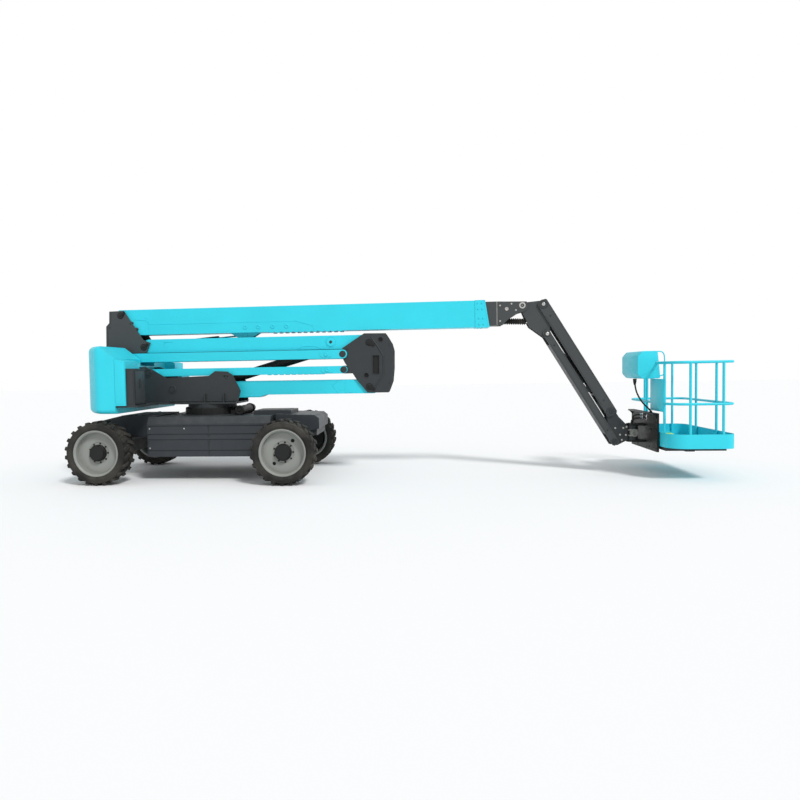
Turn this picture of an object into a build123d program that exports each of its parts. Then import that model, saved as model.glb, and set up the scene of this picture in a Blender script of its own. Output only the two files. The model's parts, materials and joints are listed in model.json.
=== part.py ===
from build123d import *
from math import asin, atan2, cos, degrees, hypot, pi, radians, sin, sqrt
import os

# Articulating boom lift, stowed, in millimetres.
# X runs from the counterweight to the platform, +Y is the far side and Z is up.
# Below, X is counted from the slew axis. The finished pieces are shifted by SLEW_X, which puts
# the origin on the ground, midway between the counterweight and the front of the platform.

# Lengths of the whole machine
TAIL_R = 1730                 # tail swing of the counterweight, about the slew axis
PLATFORM_FRONT = 7135         # front of the platform's toe board
SLEW_X = (TAIL_R - PLATFORM_FRONT) / 2

# Clearances
FIT = 0.3                     # a pin or shaft in its hole, and faces that slide
GAP = 6                       # plates that pass each other

# Wheels
AXLE_X = 1290                 # each axle, from the slew axis
TRACK_OUT = 1215              # outer face of each tyre, from the middle
TYRE_R = 440
TYRE_W = 350
LUG_H = 30
LUG_COUNT = 22                # on each shoulder, and as many flat faces round the tyre
LUG_LENGTH = 165              # across the tread
LUG_WIDTH = 56
LUG_SKEW = 19                 # degrees
RIM_R = 320
RIM_DISC_IN = 125             # the disc's depth behind the tyre's outer face
HUB_R = 112
HUB_OUT = 70                  # the hub's nose, in front of the disc
SPINDLE_R = 60

# Chassis
FRAME_REAR = -1554
FRAME_FRONT = 1686
FRAME_HALF_W = 470
FRAME_LOW = 365
DECK_Z = 905
COVER_REAR = -695
COVER_FRONT = 1060
COVER_HALF_W = TRACK_OUT - TYRE_W - 25
COVER_LOW = 352
COVER_T = 4
HATCH_REAR = 701
HATCH_FRONT = 1255
HATCH_Z = 955

# Axles and steering
AXLE_HALF_X = 90
AXLE_LOW = 350
AXLE_HIGH = 530
KINGPIN_Y = TRACK_OUT - TYRE_W - 85
KINGPIN_R = 30
EAR_R = 72
EAR_T = 30
KNUCKLE_LOW = 341
KNUCKLE_HIGH = 539
ARM_REACH = 170               # from the kingpin back to the steering rod
ARM_T = 30
STEER_ROD_R = 20
STEER_BARREL_R = 45
STEER_BARREL_HALF = 250

# Slewing ring
RING_R = 400
RING_BORE_R = 250
RING_Z = 1000                 # where the turntable sits on the ring
WORM_X = 545
WORM_Z = 968
WORM_R = 62

# Turntable
BASE_Z = 1061
BASE_T = 25
SIDE_Y = 300                  # outer faces of the two side plates
SIDE_T = 25
WEIGHT_FRONT = -1007
WEIGHT_LOW = 975
WEIGHT_TOP = 1905
WEIGHT_HALF_W = 1150
SLOT_HALF_W = 262
SLOT_REAR = -1600
SLOT_LOW = 1640

# Riser, four pins on the knuckles and two on the turntable
PIN_R = 35
A_BASE = (-515, 1278)         # lower beam on the turntable
B_BASE = (-881, 1530)         # lower link on the turntable
LOWER_LENGTH = 2905
D_TOP = (-980, 1915)          # upper beam on the upper knuckle
C_TOP = (-1360, 1755)         # upper link on the upper knuckle
UPPER_LENGTH = 3371
A_MID = (A_BASE[0] + LOWER_LENGTH, A_BASE[1])
B_MID = (B_BASE[0] + LOWER_LENGTH, B_BASE[1])
C_MID = (C_TOP[0] + UPPER_LENGTH, C_TOP[1])
D_MID = (D_TOP[0] + UPPER_LENGTH, D_TOP[1])
BEAM_HALF_W = 150
BEAM_WALL = 16
KNUCKLE_T = 28
PLATE_Y = BEAM_HALF_W + GAP   # inner faces of both knuckles' plates
LINK_Y = PLATE_Y + KNUCKLE_T + GAP
LINK_T = 40
A_LOW = A_BASE[1] - 98
A_HIGH = A_BASE[1] + 105
B_LOW = B_BASE[1] - 56
B_HIGH = B_BASE[1] + 54
C_LOW = C_TOP[1] - 65
C_HIGH = C_TOP[1] + 65
D_LOW = D_TOP[1] - 86
D_HIGH = D_TOP[1] + 114

# Cylinders
RISER_CYL_BASE = (0, 1330)
RISER_CYL_EYE = (2150, 1950)
RISER_CYL_R = 70
RISER_ROD_R = 42
LIFT_CYL_BASE = D_TOP         # on the upper beam's pin
LIFT_CYL_EYE = (541, 2048)
LIFT_CYL_R = 58
LIFT_ROD_R = 36

# Main boom and the boom that slides in it
BOOM_PIVOT = (-1327, 2394)
BOOM_REAR = -1240
BOOM_FRONT = 4080
BOOM_LOW = 2100
BOOM_DEPTH = 378
BOOM_HIGH = BOOM_LOW + BOOM_DEPTH
BOOM_HALF_W = 145
BOOM_WALL = 10
BOOM_SLANT = 30               # the front end leans back by this much at the top
COLLAR_LENGTH = 170
COLLAR_T = 5
PAD_GAP = 9                   # the wear pads fill this, all round the fly boom
FLY_REAR = -650
FLY_WALL = 9
HEAD_PIN = (4570, BOOM_HIGH - 84)

# Jib
BRACKET_Y = 60                # inner faces of the bracket's plates
BRACKET_T = 20
FORK_Y = BRACKET_Y + BRACKET_T + GAP
FORK_T = 20
LEVEL_BASE = (3652, BOOM_LOW + 107)
LEVEL_EYE = (4711, 2169)
LEVEL_CYL_R = 42
LEVEL_ROD_R = 24
JIB_TOP = (4865, 2405)        # upper arm on the bracket
JIB_LOW = (4915, 1985)        # lower arm on the bracket
JIB_LENGTH = 1786
JIB_ANGLE = -58.95            # degrees, from level
JIB_PIN_R = 26
UPPER_ARM_D = 150
LOWER_ARM_D = 104
JIB_CYL_EYE = (5495, 1195)
JIB_CYL_R = 42
JIB_ROD_R = 25

# Platform
ROTATOR_X = 6100
ROTATOR_LOW = 470
ROTATOR_HIGH = 670
ROTATOR_R = 80
FLOOR_REAR = 6300
FLOOR_Z = 450
PLATFORM_HALF_W = 905
TOE_LOW = 432
TOE_HIGH = 618
TOE_T = 4
FRONT_CORNER_R = 150
REAR_CORNER_R = 240
PLATE_HALF_W = 540            # the carrier's upright plate
PLATE_TOP = 871
RAIL_R = 17
TOP_RAIL_Z = 1548
MID_RAIL_Z = 1007
FLOOR_T = 12
SIDE_POSTS = (6558, 6962)     # in X, on both sides
REAR_POSTS = (-645, 40)       # in Y
FRONT_POSTS = (-306, 375)


def jib_point(start, along=JIB_LENGTH, across=0):
    """A point along an arm from its pin, and across it towards the upper side."""
    turn = radians(JIB_ANGLE)
    x = start[0] + along * cos(turn) - across * sin(turn)
    z = start[1] + along * sin(turn) + across * cos(turn)
    return (x, z)


END_TOP = jib_point(JIB_TOP)
END_LOW = jib_point(JIB_LOW)


# Shapes used all over

def slab(points, y_low, y_high):
    """A flat plate: an outline in X and Z between two Y planes."""
    outline = [(x, z) for x, z in points]
    face = make_face(Polyline(*outline, close=True))
    return extrude(Plane.XZ.offset(-y_low) * face, amount=-(y_high - y_low))


def box(x, y, z):
    """A block between pairs of lowest and highest values."""
    size = (x[1] - x[0], y[1] - y[0], z[1] - z[0])
    middle = ((x[0] + x[1]) / 2, (y[0] + y[1]) / 2, (z[0] + z[1]) / 2)
    return Pos(*middle) * Box(*size)


def side_count(radius):
    """How many flat sides a round bar of this radius gets."""
    for limit, sides in ((25, 8), (42, 10), (100, 12), (200, 16)):
        if radius < limit:
            return sides
    return 32


def prism(plane, radius, length, sides, shift=0.5):
    """A bar of flat sides about a plane's axis, centred on it, its corners at the radius."""
    turns = [2 * pi * (k + shift) / sides for k in range(sides)]
    face = make_face(Polyline(*[(radius * cos(t), radius * sin(t)) for t in turns], close=True))
    return extrude(plane * face, amount=length / 2, both=True)


def clear(radius):
    """The size of a hole's corners, so that a bar of this radius turns in it."""
    return (radius + FIT) / cos(pi / side_count(radius))


def turned(profile, turns):
    """A solid of flat faces: a closed profile of radii and heights, carried round Z through the turns."""
    rings = []
    for turn in turns:
        rings.append([(r * cos(radians(turn)), r * sin(radians(turn)), z) for r, z in profile])
    whole = abs(turns[-1] - turns[0]) > 359
    if whole:
        rings[-1] = rings[0]
    faces = []
    for first, second in zip(rings, rings[1:]):
        for k in range(len(profile)):
            nxt = (k + 1) % len(profile)
            corners = [first[k], first[nxt]]
            if profile[nxt][0] > 0:
                corners.append(second[nxt])
            if profile[k][0] > 0:
                corners.append(second[k])
            if len(corners) > 2:
                faces.append(Face(Wire.make_polygon(corners)))
    if not whole:
        faces += [Face(Wire.make_polygon(rings[0])), Face(Wire.make_polygon(rings[-1]))]
    return Solid(Shell(faces))


def cross_bar(at, radius, y_low, y_high, sides=None, shift=0.5):
    """A round bar along Y through a point given in X and Z."""
    plane = Plane(origin=(at[0], (y_low + y_high) / 2, at[1]), x_dir=(1, 0, 0), z_dir=(0, 1, 0))
    return prism(plane, radius, y_high - y_low, sides or side_count(radius), shift)


def pin(at, radius, y_low, y_high):
    """A hinge's pin along Y, its corners near the hole's flats, with a grease nipple's hole at the near end."""
    hole = Pos(at[0], y_low + 4, at[1]) * Rot(90, 0, 0) * Cylinder(7, 10)
    return cross_bar(at, radius, y_low, y_high, shift=0) - hole


def pin_pair(at, radius, y_low, y_high):
    """A pin in two halves, one on each side of the middle plane."""
    return pin(at, radius, -y_high, -y_low) + cross_bar(at, radius, y_low, y_high, shift=0)


def cross_hole(at, radius, y_low, y_high):
    """What a cross bar's hole takes away."""
    return cross_bar(at, clear(radius), y_low, y_high, side_count(radius))


def post(x, y, radius, z_low, z_high, sides=None):
    """An upright round bar."""
    return prism(Plane.XY.offset((z_low + z_high) / 2).shift_origin((x, y, (z_low + z_high) / 2)), radius,
                 z_high - z_low, sides or side_count(radius))


def post_hole(x, y, radius, z_low, z_high):
    """What a post's hole takes away."""
    return post(x, y, clear(radius), z_low, z_high, side_count(radius))


def bar(start, end, radius, sides=None):
    """A round bar between two points in space."""
    a = Vector(*start)
    b = Vector(*end)
    plane = Plane(origin=(a + b) * 0.5, x_dir=Vector(0, 1, 0) if abs((b - a).Y) < 1 else Vector(1, 0, 0), z_dir=b - a)
    return prism(plane, radius, (b - a).length, sides or side_count(radius))


def in_plane(start, end, radius, sides=None):
    """A round bar in the middle plane, between two points given in X and Z."""
    return bar((start[0], 0, start[1]), (end[0], 0, end[1]), radius, sides)


def both_sides(shape):
    """The shape and its mirror image across the middle plane."""
    return shape + mirror(shape, about=Plane.XZ)


def both_slabs(points, y_low, thickness):
    """The same plate on each side of the middle plane."""
    return both_sides(slab(points, y_low, y_low + thickness))


def between(start, end, distance):
    """A point at a distance from the start, on the line to the end."""
    length = hypot(end[0] - start[0], end[1] - start[1])
    share = distance / length
    return (start[0] + share * (end[0] - start[0]), start[1] + share * (end[1] - start[1]))


# Wheels

def wheel_turns():
    """The turns of a wheel's flat faces, placed so that a lug's corner points straight down."""
    skew = radians(LUG_SKEW)
    reach = LUG_WIDTH / 2 * cos(skew) + LUG_LENGTH / 2 * sin(skew)
    first = 90 - degrees(asin(reach / TYRE_R))
    return [first + 360 / LUG_COUNT * (k + 0.5) for k in range(LUG_COUNT + 1)]


def make_tyre():
    """A solid industrial tyre with skewed lugs on both shoulders, its axle along Z."""
    half = TYRE_W / 2
    tread_r = TYRE_R - LUG_H
    turns = wheel_turns()
    edge = half - 6
    tyre = turned([(RIM_R + FIT, 29 - half), (RIM_R + 45, -half), (tread_r, -edge), (tread_r, edge),
                   (RIM_R + 45, half), (RIM_R + FIT, half - 29)], turns)
    skew = radians(LUG_SKEW)
    reach = LUG_WIDTH / 2 * cos(skew) + LUG_LENGTH / 2 * sin(skew)
    depth = LUG_WIDTH / 2 * sin(skew) + LUG_LENGTH / 2 * cos(skew)
    top = sqrt(TYRE_R ** 2 - reach ** 2)
    foot = tread_r - 16
    for side, shift in ((1, 0.5), (-1, 0)):
        for turn in turns[1:]:
            lug = Pos((top + foot) / 2, 0, side * (edge - depth)) * Rot(side * LUG_SKEW, 0, 0)
            tyre += Rot(0, 0, turn - shift * 360 / LUG_COUNT) * lug * Box(top - foot, LUG_WIDTH, LUG_LENGTH)
    return tyre


def make_rim():
    """A one-piece rim with a dished disc and a hub, outer side up, its axle along Z."""
    half = TYRE_W / 2
    disc = half - RIM_DISC_IN
    nose = disc + HUB_OUT
    shell = turned([(RIM_R - 34, 30 - half), (RIM_R - 14, 22 - half), (RIM_R, 29 - half), (RIM_R, half - 29),
                    (RIM_R - 14, half - 22), (RIM_R - 34, half - 40)], wheel_turns())
    bore = (SPINDLE_R + FIT) / cos(pi / 16)
    middle = turned([(bore, disc - 50), (HUB_R, disc - 50), (HUB_R + 15, disc - 22), (RIM_R - 25, disc - 22),
                     (RIM_R - 25, disc), (HUB_R, disc), (HUB_R, nose - 15), (HUB_R - 15, nose), (0, nose),
                     (0, nose - 30), (bore, nose - 30)], [22.5 * (k + 0.5) for k in range(17)])
    return shell + middle - Pos(0, 0, nose) * Cylinder(16, 16)


def wheel_place(end, side):
    """Where a wheel stands: end -1 is the counterweight's, side -1 is the near one."""
    return Pos(end * AXLE_X, side * (TRACK_OUT - TYRE_W / 2), TYRE_R) * Rot(-90 * side, 0, 0)


SPINDLE_OUT = TRACK_OUT - RIM_DISC_IN + HUB_OUT - 32


# Chassis

def make_frame():
    """The welded chassis box with its deck, the ends narrow between the wheels."""
    half = COVER_HALF_W - 70
    rear = COVER_REAR + 40
    front = COVER_FRONT - 40
    core = box((rear, front), (-half, half), (FRAME_LOW, DECK_Z - 8))
    end_half = FRAME_HALF_W - 40
    for low_x, high_x in ((FRAME_REAR + 40, rear), (front, FRAME_FRONT - 40)):
        core += box((low_x, high_x), (-end_half, end_half), (AXLE_HIGH + 70, DECK_Z - 100))
    for x, step in ((rear, -1), (front, 1)):
        core += slab([(x, FRAME_LOW), (x + step * 110, AXLE_HIGH + 70), (x, AXLE_HIGH + 70)], -end_half, end_half)
    saddles = Part()
    for end in (-1, 1):
        saddles += box((end * AXLE_X - 120, end * AXLE_X + 120), (-260, 260), (AXLE_HIGH, AXLE_HIGH + 72))
    return core + saddles + post(0, 0, RING_R + 60, DECK_Z - 8, DECK_Z)


def make_covers():
    """Folded sheet covers along both sides, with pressed ridges."""
    outer = COVER_HALF_W
    fold = outer - 45
    ridges = [COVER_LOW, 431, 446, 583, 598, 659, 674, 775, 790]
    points = [(fold, COVER_LOW)]
    for index, height in enumerate(ridges):
        depth = outer if index % 2 == 0 else outer - 12
        points.append((depth, height))
    points += [(outer, 812), (fold - 20, DECK_Z), (fold - 60, DECK_Z), (fold - 60, DECK_Z - 8),
               (fold - 24, DECK_Z - 8), (outer - 16, 804), (outer - 16, COVER_LOW + 6), (fold, COVER_LOW + 6)]
    face = make_face(Polyline(*points, close=True))
    cover = extrude(Plane.YZ.offset(COVER_REAR) * face, amount=COVER_FRONT - COVER_REAR)
    return both_sides(cover)


def make_hoods():
    """The two end hoods over the axles and the low hatch beside the slewing ring."""
    rear = slab([(FRAME_REAR, 700), (COVER_REAR - 2, 560), (COVER_REAR - 2, DECK_Z + 6),
                 (FRAME_REAR + 330, DECK_Z + 6), (FRAME_REAR, 836)], -FRAME_HALF_W, FRAME_HALF_W)
    rear -= slab([(FRAME_REAR + 40, 690), (COVER_REAR, 540), (COVER_REAR, DECK_Z - 7),
                  (FRAME_REAR + 335, DECK_Z - 7), (FRAME_REAR + 40, 826)], -FRAME_HALF_W + 6, FRAME_HALF_W - 6)
    front = slab([(COVER_FRONT + 2, 560), (FRAME_FRONT, 700), (FRAME_FRONT, DECK_Z - 60),
                  (FRAME_FRONT - 60, DECK_Z - 12), (COVER_FRONT + 2, DECK_Z + 6)], -FRAME_HALF_W, FRAME_HALF_W)
    front -= slab([(COVER_FRONT, 540), (FRAME_FRONT - 40, 690), (FRAME_FRONT - 40, DECK_Z - 30),
                   (COVER_FRONT, DECK_Z - 7)], -FRAME_HALF_W + 6, FRAME_HALF_W - 6)
    hatch = box((HATCH_REAR, HATCH_FRONT), (-300, 300), (DECK_Z - 8, HATCH_Z))
    return rear + front + hatch


def make_slew_ring():
    """The fixed ring of the slewing bearing with its worm housing and motor."""
    height = RING_Z - FIT - DECK_Z
    ring = post(0, 0, RING_R, DECK_Z, RING_Z - FIT) - Pos(0, 0, DECK_Z + height / 2) * Cylinder(RING_BORE_R, height + 2)
    worm = cross_bar((WORM_X - 40, WORM_Z), WORM_R, -330, 250)
    cradle = box((RING_R - 60, WORM_X - 40), (-230, 230), (DECK_Z, WORM_Z))
    return ring + worm + cradle


def make_steer_axle():
    """The beam of the steered axle with a yoke at each end and the steering cylinder's barrel."""
    x = -AXLE_X
    neck = KINGPIN_Y - 115
    beam = box((x - AXLE_HALF_X, x + AXLE_HALF_X), (-neck, neck), (AXLE_LOW, AXLE_HIGH - FIT))
    low = KNUCKLE_LOW - FIT
    high = KNUCKLE_HIGH + FIT
    ears = Part()
    for z_low, z_high in ((low - EAR_T, low), (high, high + EAR_T)):
        ears += box((x - 60, x + 60), (neck - 70, KINGPIN_Y), (z_low, z_high))
        ears += post(x, KINGPIN_Y, EAR_R, z_low, z_high)
    ears += box((x - 60, x + 60), (neck - 70, neck), (low - EAR_T, high + EAR_T))
    ears += post(x, KINGPIN_Y, KINGPIN_R, low - EAR_T, high + EAR_T)
    ears -= Pos(x, KINGPIN_Y, high + EAR_T) * Cylinder(7, 12)
    barrel = bar((x - ARM_REACH, -STEER_BARREL_HALF, TYRE_R), (x - ARM_REACH, STEER_BARREL_HALF, TYRE_R),
                 STEER_BARREL_R)
    barrel -= bar((x - ARM_REACH, -STEER_BARREL_HALF - 1, TYRE_R), (x - ARM_REACH, STEER_BARREL_HALF + 1, TYRE_R),
                  STEER_ROD_R + FIT, side_count(STEER_ROD_R))
    mount = box((x - ARM_REACH + 30, x - AXLE_HALF_X), (-120, 120), (TYRE_R - 30, TYRE_R + 30))
    return beam + both_sides(ears) + barrel + mount


def make_knuckle():
    """The near steering knuckle: barrel, spindle and arm. The far one is its mirror image."""
    x = -AXLE_X
    y = -KINGPIN_Y
    body = post(x, y, 62, KNUCKLE_LOW, KNUCKLE_HIGH)
    body += bar((x, y, TYRE_R), (x, -SPINDLE_OUT, TYRE_R), SPINDLE_R)
    body += box((x - ARM_REACH - 76, x), (y - 34, y + 34), (TYRE_R - ARM_T / 2, TYRE_R + ARM_T / 2))
    slot = box((x - ARM_REACH - 54, x - ARM_REACH + 20), (y - 19, y + 19), (TYRE_R - ARM_T, TYRE_R + ARM_T))
    return body - post_hole(x, y, KINGPIN_R, KNUCKLE_LOW - 1, KNUCKLE_HIGH + 1) - slot


def make_steer_rod():
    """The steering cylinder's through rod with a forked pin at each end."""
    x = -AXLE_X - ARM_REACH
    y = KINGPIN_Y
    half_fork = ARM_T / 2 + GAP
    rod = bar((x, -y + 70, TYRE_R), (x, y - 70, TYRE_R), STEER_ROD_R)
    fork = post(x, y, 13, TYRE_R - half_fork - 14, TYRE_R + half_fork + 14)
    for z_low in (TYRE_R - half_fork - 14, TYRE_R + half_fork):
        fork += box((x - 22, x + 22), (y - 96, y + 20), (z_low, z_low + 14))
    fork += box((x - 22, x + 22), (y - 96, y - 66), (TYRE_R - half_fork - 14, TYRE_R + half_fork + 14))
    return rod + both_sides(fork)


def make_drive_axle():
    """The beam of the fixed axle with a spindle at each end."""
    x = AXLE_X
    beam = box((x - AXLE_HALF_X, x + AXLE_HALF_X), (-800, 800), (AXLE_LOW, AXLE_HIGH - FIT))
    spindle = bar((x, 790, TYRE_R), (x, SPINDLE_OUT, TYRE_R), SPINDLE_R)
    gear = post(x, 0, 150, AXLE_LOW - 40, AXLE_HIGH - FIT)
    return beam + both_sides(spindle) + gear


# Turntable

def make_turntable():
    """The rotating frame: ring flange, base plate, two tall side plates and the riser's two pins."""
    outline = [(WEIGHT_FRONT, BASE_Z), (WEIGHT_FRONT, 1619), (-924, 1619), (-819, 1579), (-607, 1452),
               (42, 1472), (139, 1540), (320, 1530), (395, 1483), (513, 1248), (461, BASE_Z)]
    cut = [(255, 1470), (345, 1470), (302, 1422)]
    sides = both_slabs(outline, SIDE_Y - SIDE_T, SIDE_T) - both_slabs(cut, SIDE_Y - SIDE_T - 1, SIDE_T + 2)
    base = box((WEIGHT_FRONT, 461), (-SIDE_Y - 60, SIDE_Y + 60), (BASE_Z, BASE_Z + BASE_T))
    wings = box((WEIGHT_FRONT, -700), (-WEIGHT_HALF_W + 30, WEIGHT_HALF_W - 30), (BASE_Z, BASE_Z + BASE_T))
    flange = post(0, 0, RING_R - 40, RING_Z, BASE_Z) - post(0, 0, RING_BORE_R, RING_Z - 1, BASE_Z + BASE_T + 1)
    frame = sides + base + wings + flange
    frame -= post(0, 0, RING_BORE_R, RING_Z - 1, BASE_Z + BASE_T + 1)
    for at in (A_BASE, B_BASE):
        inner = BEAM_HALF_W + GAP if at is A_BASE else LINK_Y + LINK_T + GAP
        frame += pin(at, PIN_R, -SIDE_Y - 12, SIDE_Y + 12)
        frame += both_sides(cross_bar(at, PIN_R + 28, inner, SIDE_Y))
    gusset = [(0, BASE_Z + BASE_T), (12, BASE_Z + BASE_T), (12, 1210), (0, 1210)]
    for x in (-20, 262):
        frame += both_slabs([(x + px, pz) for px, pz in gusset], SIDE_Y, 50)
    return frame


def weight_plan(inset):
    """The counterweight's outline in plan: a tail-swing arc with rounded corners."""
    half = WEIGHT_HALF_W - inset
    points = [(WEIGHT_FRONT, -half), (WEIGHT_FRONT, half)]
    arc = []
    reach = TAIL_R - inset
    side = sqrt(reach ** 2 - half ** 2)
    corner = [(-side + 175, half), (-side + 75, half - 20), (-side, half - 85), (-side - 60, half - 170)]
    low = asin((half - 170) / reach)
    arc = [(-reach * cos(low * k / 5), reach * sin(low * k / 5)) for k in (4, 3, 2, 1)]
    upper = corner[:3] + [(-reach * cos(low), reach * sin(low))] + arc
    points += upper + [(-reach, 0)] + [(x, -y) for x, y in reversed(upper)]
    return points


def make_counterweight():
    """The cast counterweight: a tail-swing arc in plan, sloped front top, slot for the knuckle."""
    levels = [(WEIGHT_LOW, 80), (WEIGHT_LOW + 25, 25), (WEIGHT_LOW + 90, 0), (WEIGHT_TOP - 90, 0),
              (WEIGHT_TOP - 25, 25), (WEIGHT_TOP, 80)]
    loops = [[(x, y, z) for x, y in weight_plan(inset)] for z, inset in levels]
    faces = [Face(Wire.make_polygon(loops[0])), Face(Wire.make_polygon(loops[-1]))]
    for low, high in zip(loops, loops[1:]):
        for k in range(len(low)):
            nxt = (k + 1) % len(low)
            faces.append(Face(Wire.make_polygon([low[k], low[nxt], high[nxt]])))
            faces.append(Face(Wire.make_polygon([low[k], high[nxt], high[k]])))
    weight = Solid(Shell(faces))
    slope = slab([(-1215, WEIGHT_TOP + 1), (-1215, WEIGHT_TOP - 15), (WEIGHT_FRONT + 1, 1729),
                  (WEIGHT_FRONT + 1, WEIGHT_TOP + 1)], -WEIGHT_HALF_W - 1, WEIGHT_HALF_W + 1)
    slot = box((SLOT_REAR, WEIGHT_FRONT + 1), (-SLOT_HALF_W, SLOT_HALF_W), (SLOT_LOW, WEIGHT_TOP + 1))
    return weight - slope - slot


def make_side_cover():
    """The painted covers between the counterweight and the cabinets, one on each side."""
    outline = [(WEIGHT_FRONT + FIT, BASE_Z + BASE_T), (-858, BASE_Z + BASE_T), (-858, 1690), (WEIGHT_FRONT + FIT, 1722)]
    return both_slabs(outline, 760, WEIGHT_HALF_W - 764)


def make_cabinet():
    """The dark control cabinet on the near side."""
    block = box((-858 + FIT, -741), (-1120, -740), (BASE_Z + BASE_T, 1590))
    handle = box((-741, -725), (-960, -940), (1330, 1450))
    return block + handle


def make_far_hood():
    """The painted hood over the far side."""
    return box((-858 + FIT, -741), (740, 1120), (BASE_Z + BASE_T, 1590))


# Riser

def beam_sides(points):
    """The two side walls of a beam."""
    return both_slabs(points, BEAM_HALF_W - BEAM_WALL, BEAM_WALL)


def make_lower_beam():
    """The lower beam: a box, open on top where the riser cylinder stands in it."""
    rear = A_BASE[0] - 78
    front = A_MID[0] + 70
    side = [(rear, A_LOW + 20), (rear + 25, A_LOW - 37), (760, A_LOW - 37), (855, A_LOW), (front, A_LOW),
            (front, A_HIGH), (rear + 25, A_HIGH), (rear, A_HIGH - 40)]
    inside = BEAM_HALF_W - BEAM_WALL
    beam = beam_sides(side)
    beam += slab([(rear + 25, A_LOW - 37), (760, A_LOW - 37), (855, A_LOW), (front, A_LOW), (front, A_LOW + 12),
                  (850, A_LOW + 12), (755, A_LOW - 25), (rear + 25, A_LOW - 25)], -inside, inside)
    beam += box((rear + 25, RISER_CYL_BASE[0] - 90), (-inside, inside), (A_HIGH - 12, A_HIGH))
    beam += box((980, front), (-inside, inside), (A_HIGH - 12, A_HIGH))
    for at in (A_BASE, A_MID):
        beam += cross_bar(at, PIN_R + 25, -BEAM_HALF_W, BEAM_HALF_W)
        beam -= cross_hole(at, PIN_R, -BEAM_HALF_W - 1, BEAM_HALF_W + 1)
    beam += pin(RISER_CYL_BASE, 32, -BEAM_HALF_W, BEAM_HALF_W)
    return beam


def make_link_pair(start, end, low, high):
    """Two flat bars, outboard of the knuckles' plates, with rounded ends."""
    middle = start[1]
    half = min(high - middle, middle - low)
    link = slab([(start[0], low), (end[0], low), (end[0], high), (start[0], high)], LINK_Y, LINK_Y + LINK_T)
    for at in (start, end):
        link += cross_bar(at, half, LINK_Y, LINK_Y + LINK_T)
        link -= cross_hole(at, PIN_R, LINK_Y - 1, LINK_Y + LINK_T + 1)
    return both_sides(link)


def make_mid_knuckle():
    """The big knuckle at the platform's end of the riser, two plates joined by webs and pins."""
    outline = [(2322, 2048), (2636, 2043), (2722, 1900), (2750, 1797), (2747, 1538), (2728, 1348),
               (2667, 1190), (2363, 1190), (2201, 1390), (2134, 1496), (2041, 1620), (2007, 1690), (2003, 1841)]
    plates = both_slabs(outline, PLATE_Y, KNUCKLE_T)
    window = box((2445, 2531), (PLATE_Y - 1, PLATE_Y + KNUCKLE_T + 1), (1463, 1723))
    for at in ((2561, 1955), (2349, 1444)):
        window += cross_bar(at, 32, PLATE_Y - 1, PLATE_Y + KNUCKLE_T + 1)
    plates -= both_sides(window)
    for at in (B_MID, C_MID):
        lug = cross_bar(at, 58, PLATE_Y, PLATE_Y + KNUCKLE_T)
        web = slab([(at[0], at[1] - 58), (at[0] + 130, at[1] - 58), (at[0] + 130, at[1] + 58), (at[0], at[1] + 58)],
                   PLATE_Y, PLATE_Y + KNUCKLE_T)
        plates += both_sides(lug + web)
    web = box((2560, 2585), (-PLATE_Y, PLATE_Y), (1260, 1980))
    knuckle = plates + web
    outer = LINK_Y + LINK_T + 10
    knuckle += pin(A_MID, PIN_R, -PLATE_Y - KNUCKLE_T - 12, PLATE_Y + KNUCKLE_T + 12)
    knuckle += pin_pair(D_MID, PIN_R, BEAM_HALF_W - 70, PLATE_Y + KNUCKLE_T + 12)
    for at in (B_MID, C_MID):
        knuckle += both_sides(cross_bar(at, PIN_R + 14, LINK_Y + LINK_T + FIT, outer - 4))
        knuckle += pin_pair(at, PIN_R, PLATE_Y, outer)
    return knuckle


def make_upper_beam():
    """The upper beam: open above for the lift cylinder, open below for the riser cylinder."""
    rear = D_TOP[0] - 72
    front = D_MID[0] + 60
    inside = BEAM_HALF_W - BEAM_WALL
    side = [(rear, D_LOW + 40), (rear + 30, D_LOW), (front, D_LOW), (front, D_HIGH), (rear + 130, D_HIGH),
            (rear, D_HIGH - 55)]
    beam = beam_sides(side)
    beam += box((rear + 160, 1300), (-inside, inside), (D_LOW, D_LOW + 10))
    beam += box((740, front), (-inside, inside), (D_HIGH - 12, D_HIGH))
    beam += both_sides(cross_bar(D_MID, PIN_R + 25, BEAM_HALF_W - 65, BEAM_HALF_W))
    beam -= cross_hole(D_MID, PIN_R, -BEAM_HALF_W - 1, BEAM_HALF_W + 1)
    return beam - cross_hole(D_TOP, PIN_R, -BEAM_HALF_W - 1, BEAM_HALF_W + 1)


def make_upper_knuckle():
    """The knuckle above the counterweight that carries the main boom and its lift cylinder."""
    outline = [(-1502, 2459), (-1508, 2287), (-1557, 2236), (-1564, 1936), (-1449, 1829), (-1198, 1829),
               (-941, 1829), (-881, 1977), (-957, 2009), (-993, 2027), (-1280, 2464)]
    plates = both_slabs(outline, PLATE_Y, KNUCKLE_T)
    lug = cross_bar(C_TOP, 58, PLATE_Y, PLATE_Y + KNUCKLE_T)
    lug += slab([(C_TOP[0] - 58, C_TOP[1]), (C_TOP[0] + 58, C_TOP[1]), (C_TOP[0] + 58, 1840),
                 (C_TOP[0] - 58, 1840)], PLATE_Y, PLATE_Y + KNUCKLE_T)
    knuckle = plates + both_sides(lug)
    knuckle += box((-1550, -1526), (-PLATE_Y, PLATE_Y), (1940, 2220))
    knuckle += box((-1440, -1200), (-PLATE_Y, PLATE_Y), (1810, 1835))
    outer = LINK_Y + LINK_T + 10
    knuckle += both_sides(cross_bar(C_TOP, PIN_R + 14, LINK_Y + LINK_T + FIT, outer - 4))
    knuckle += pin_pair(C_TOP, PIN_R, PLATE_Y, outer)
    for at in (D_TOP, BOOM_PIVOT):
        knuckle += pin(at, PIN_R, -PLATE_Y - KNUCKLE_T - 12, PLATE_Y + KNUCKLE_T + 12)
    return knuckle


# Hydraulic cylinders

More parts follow.
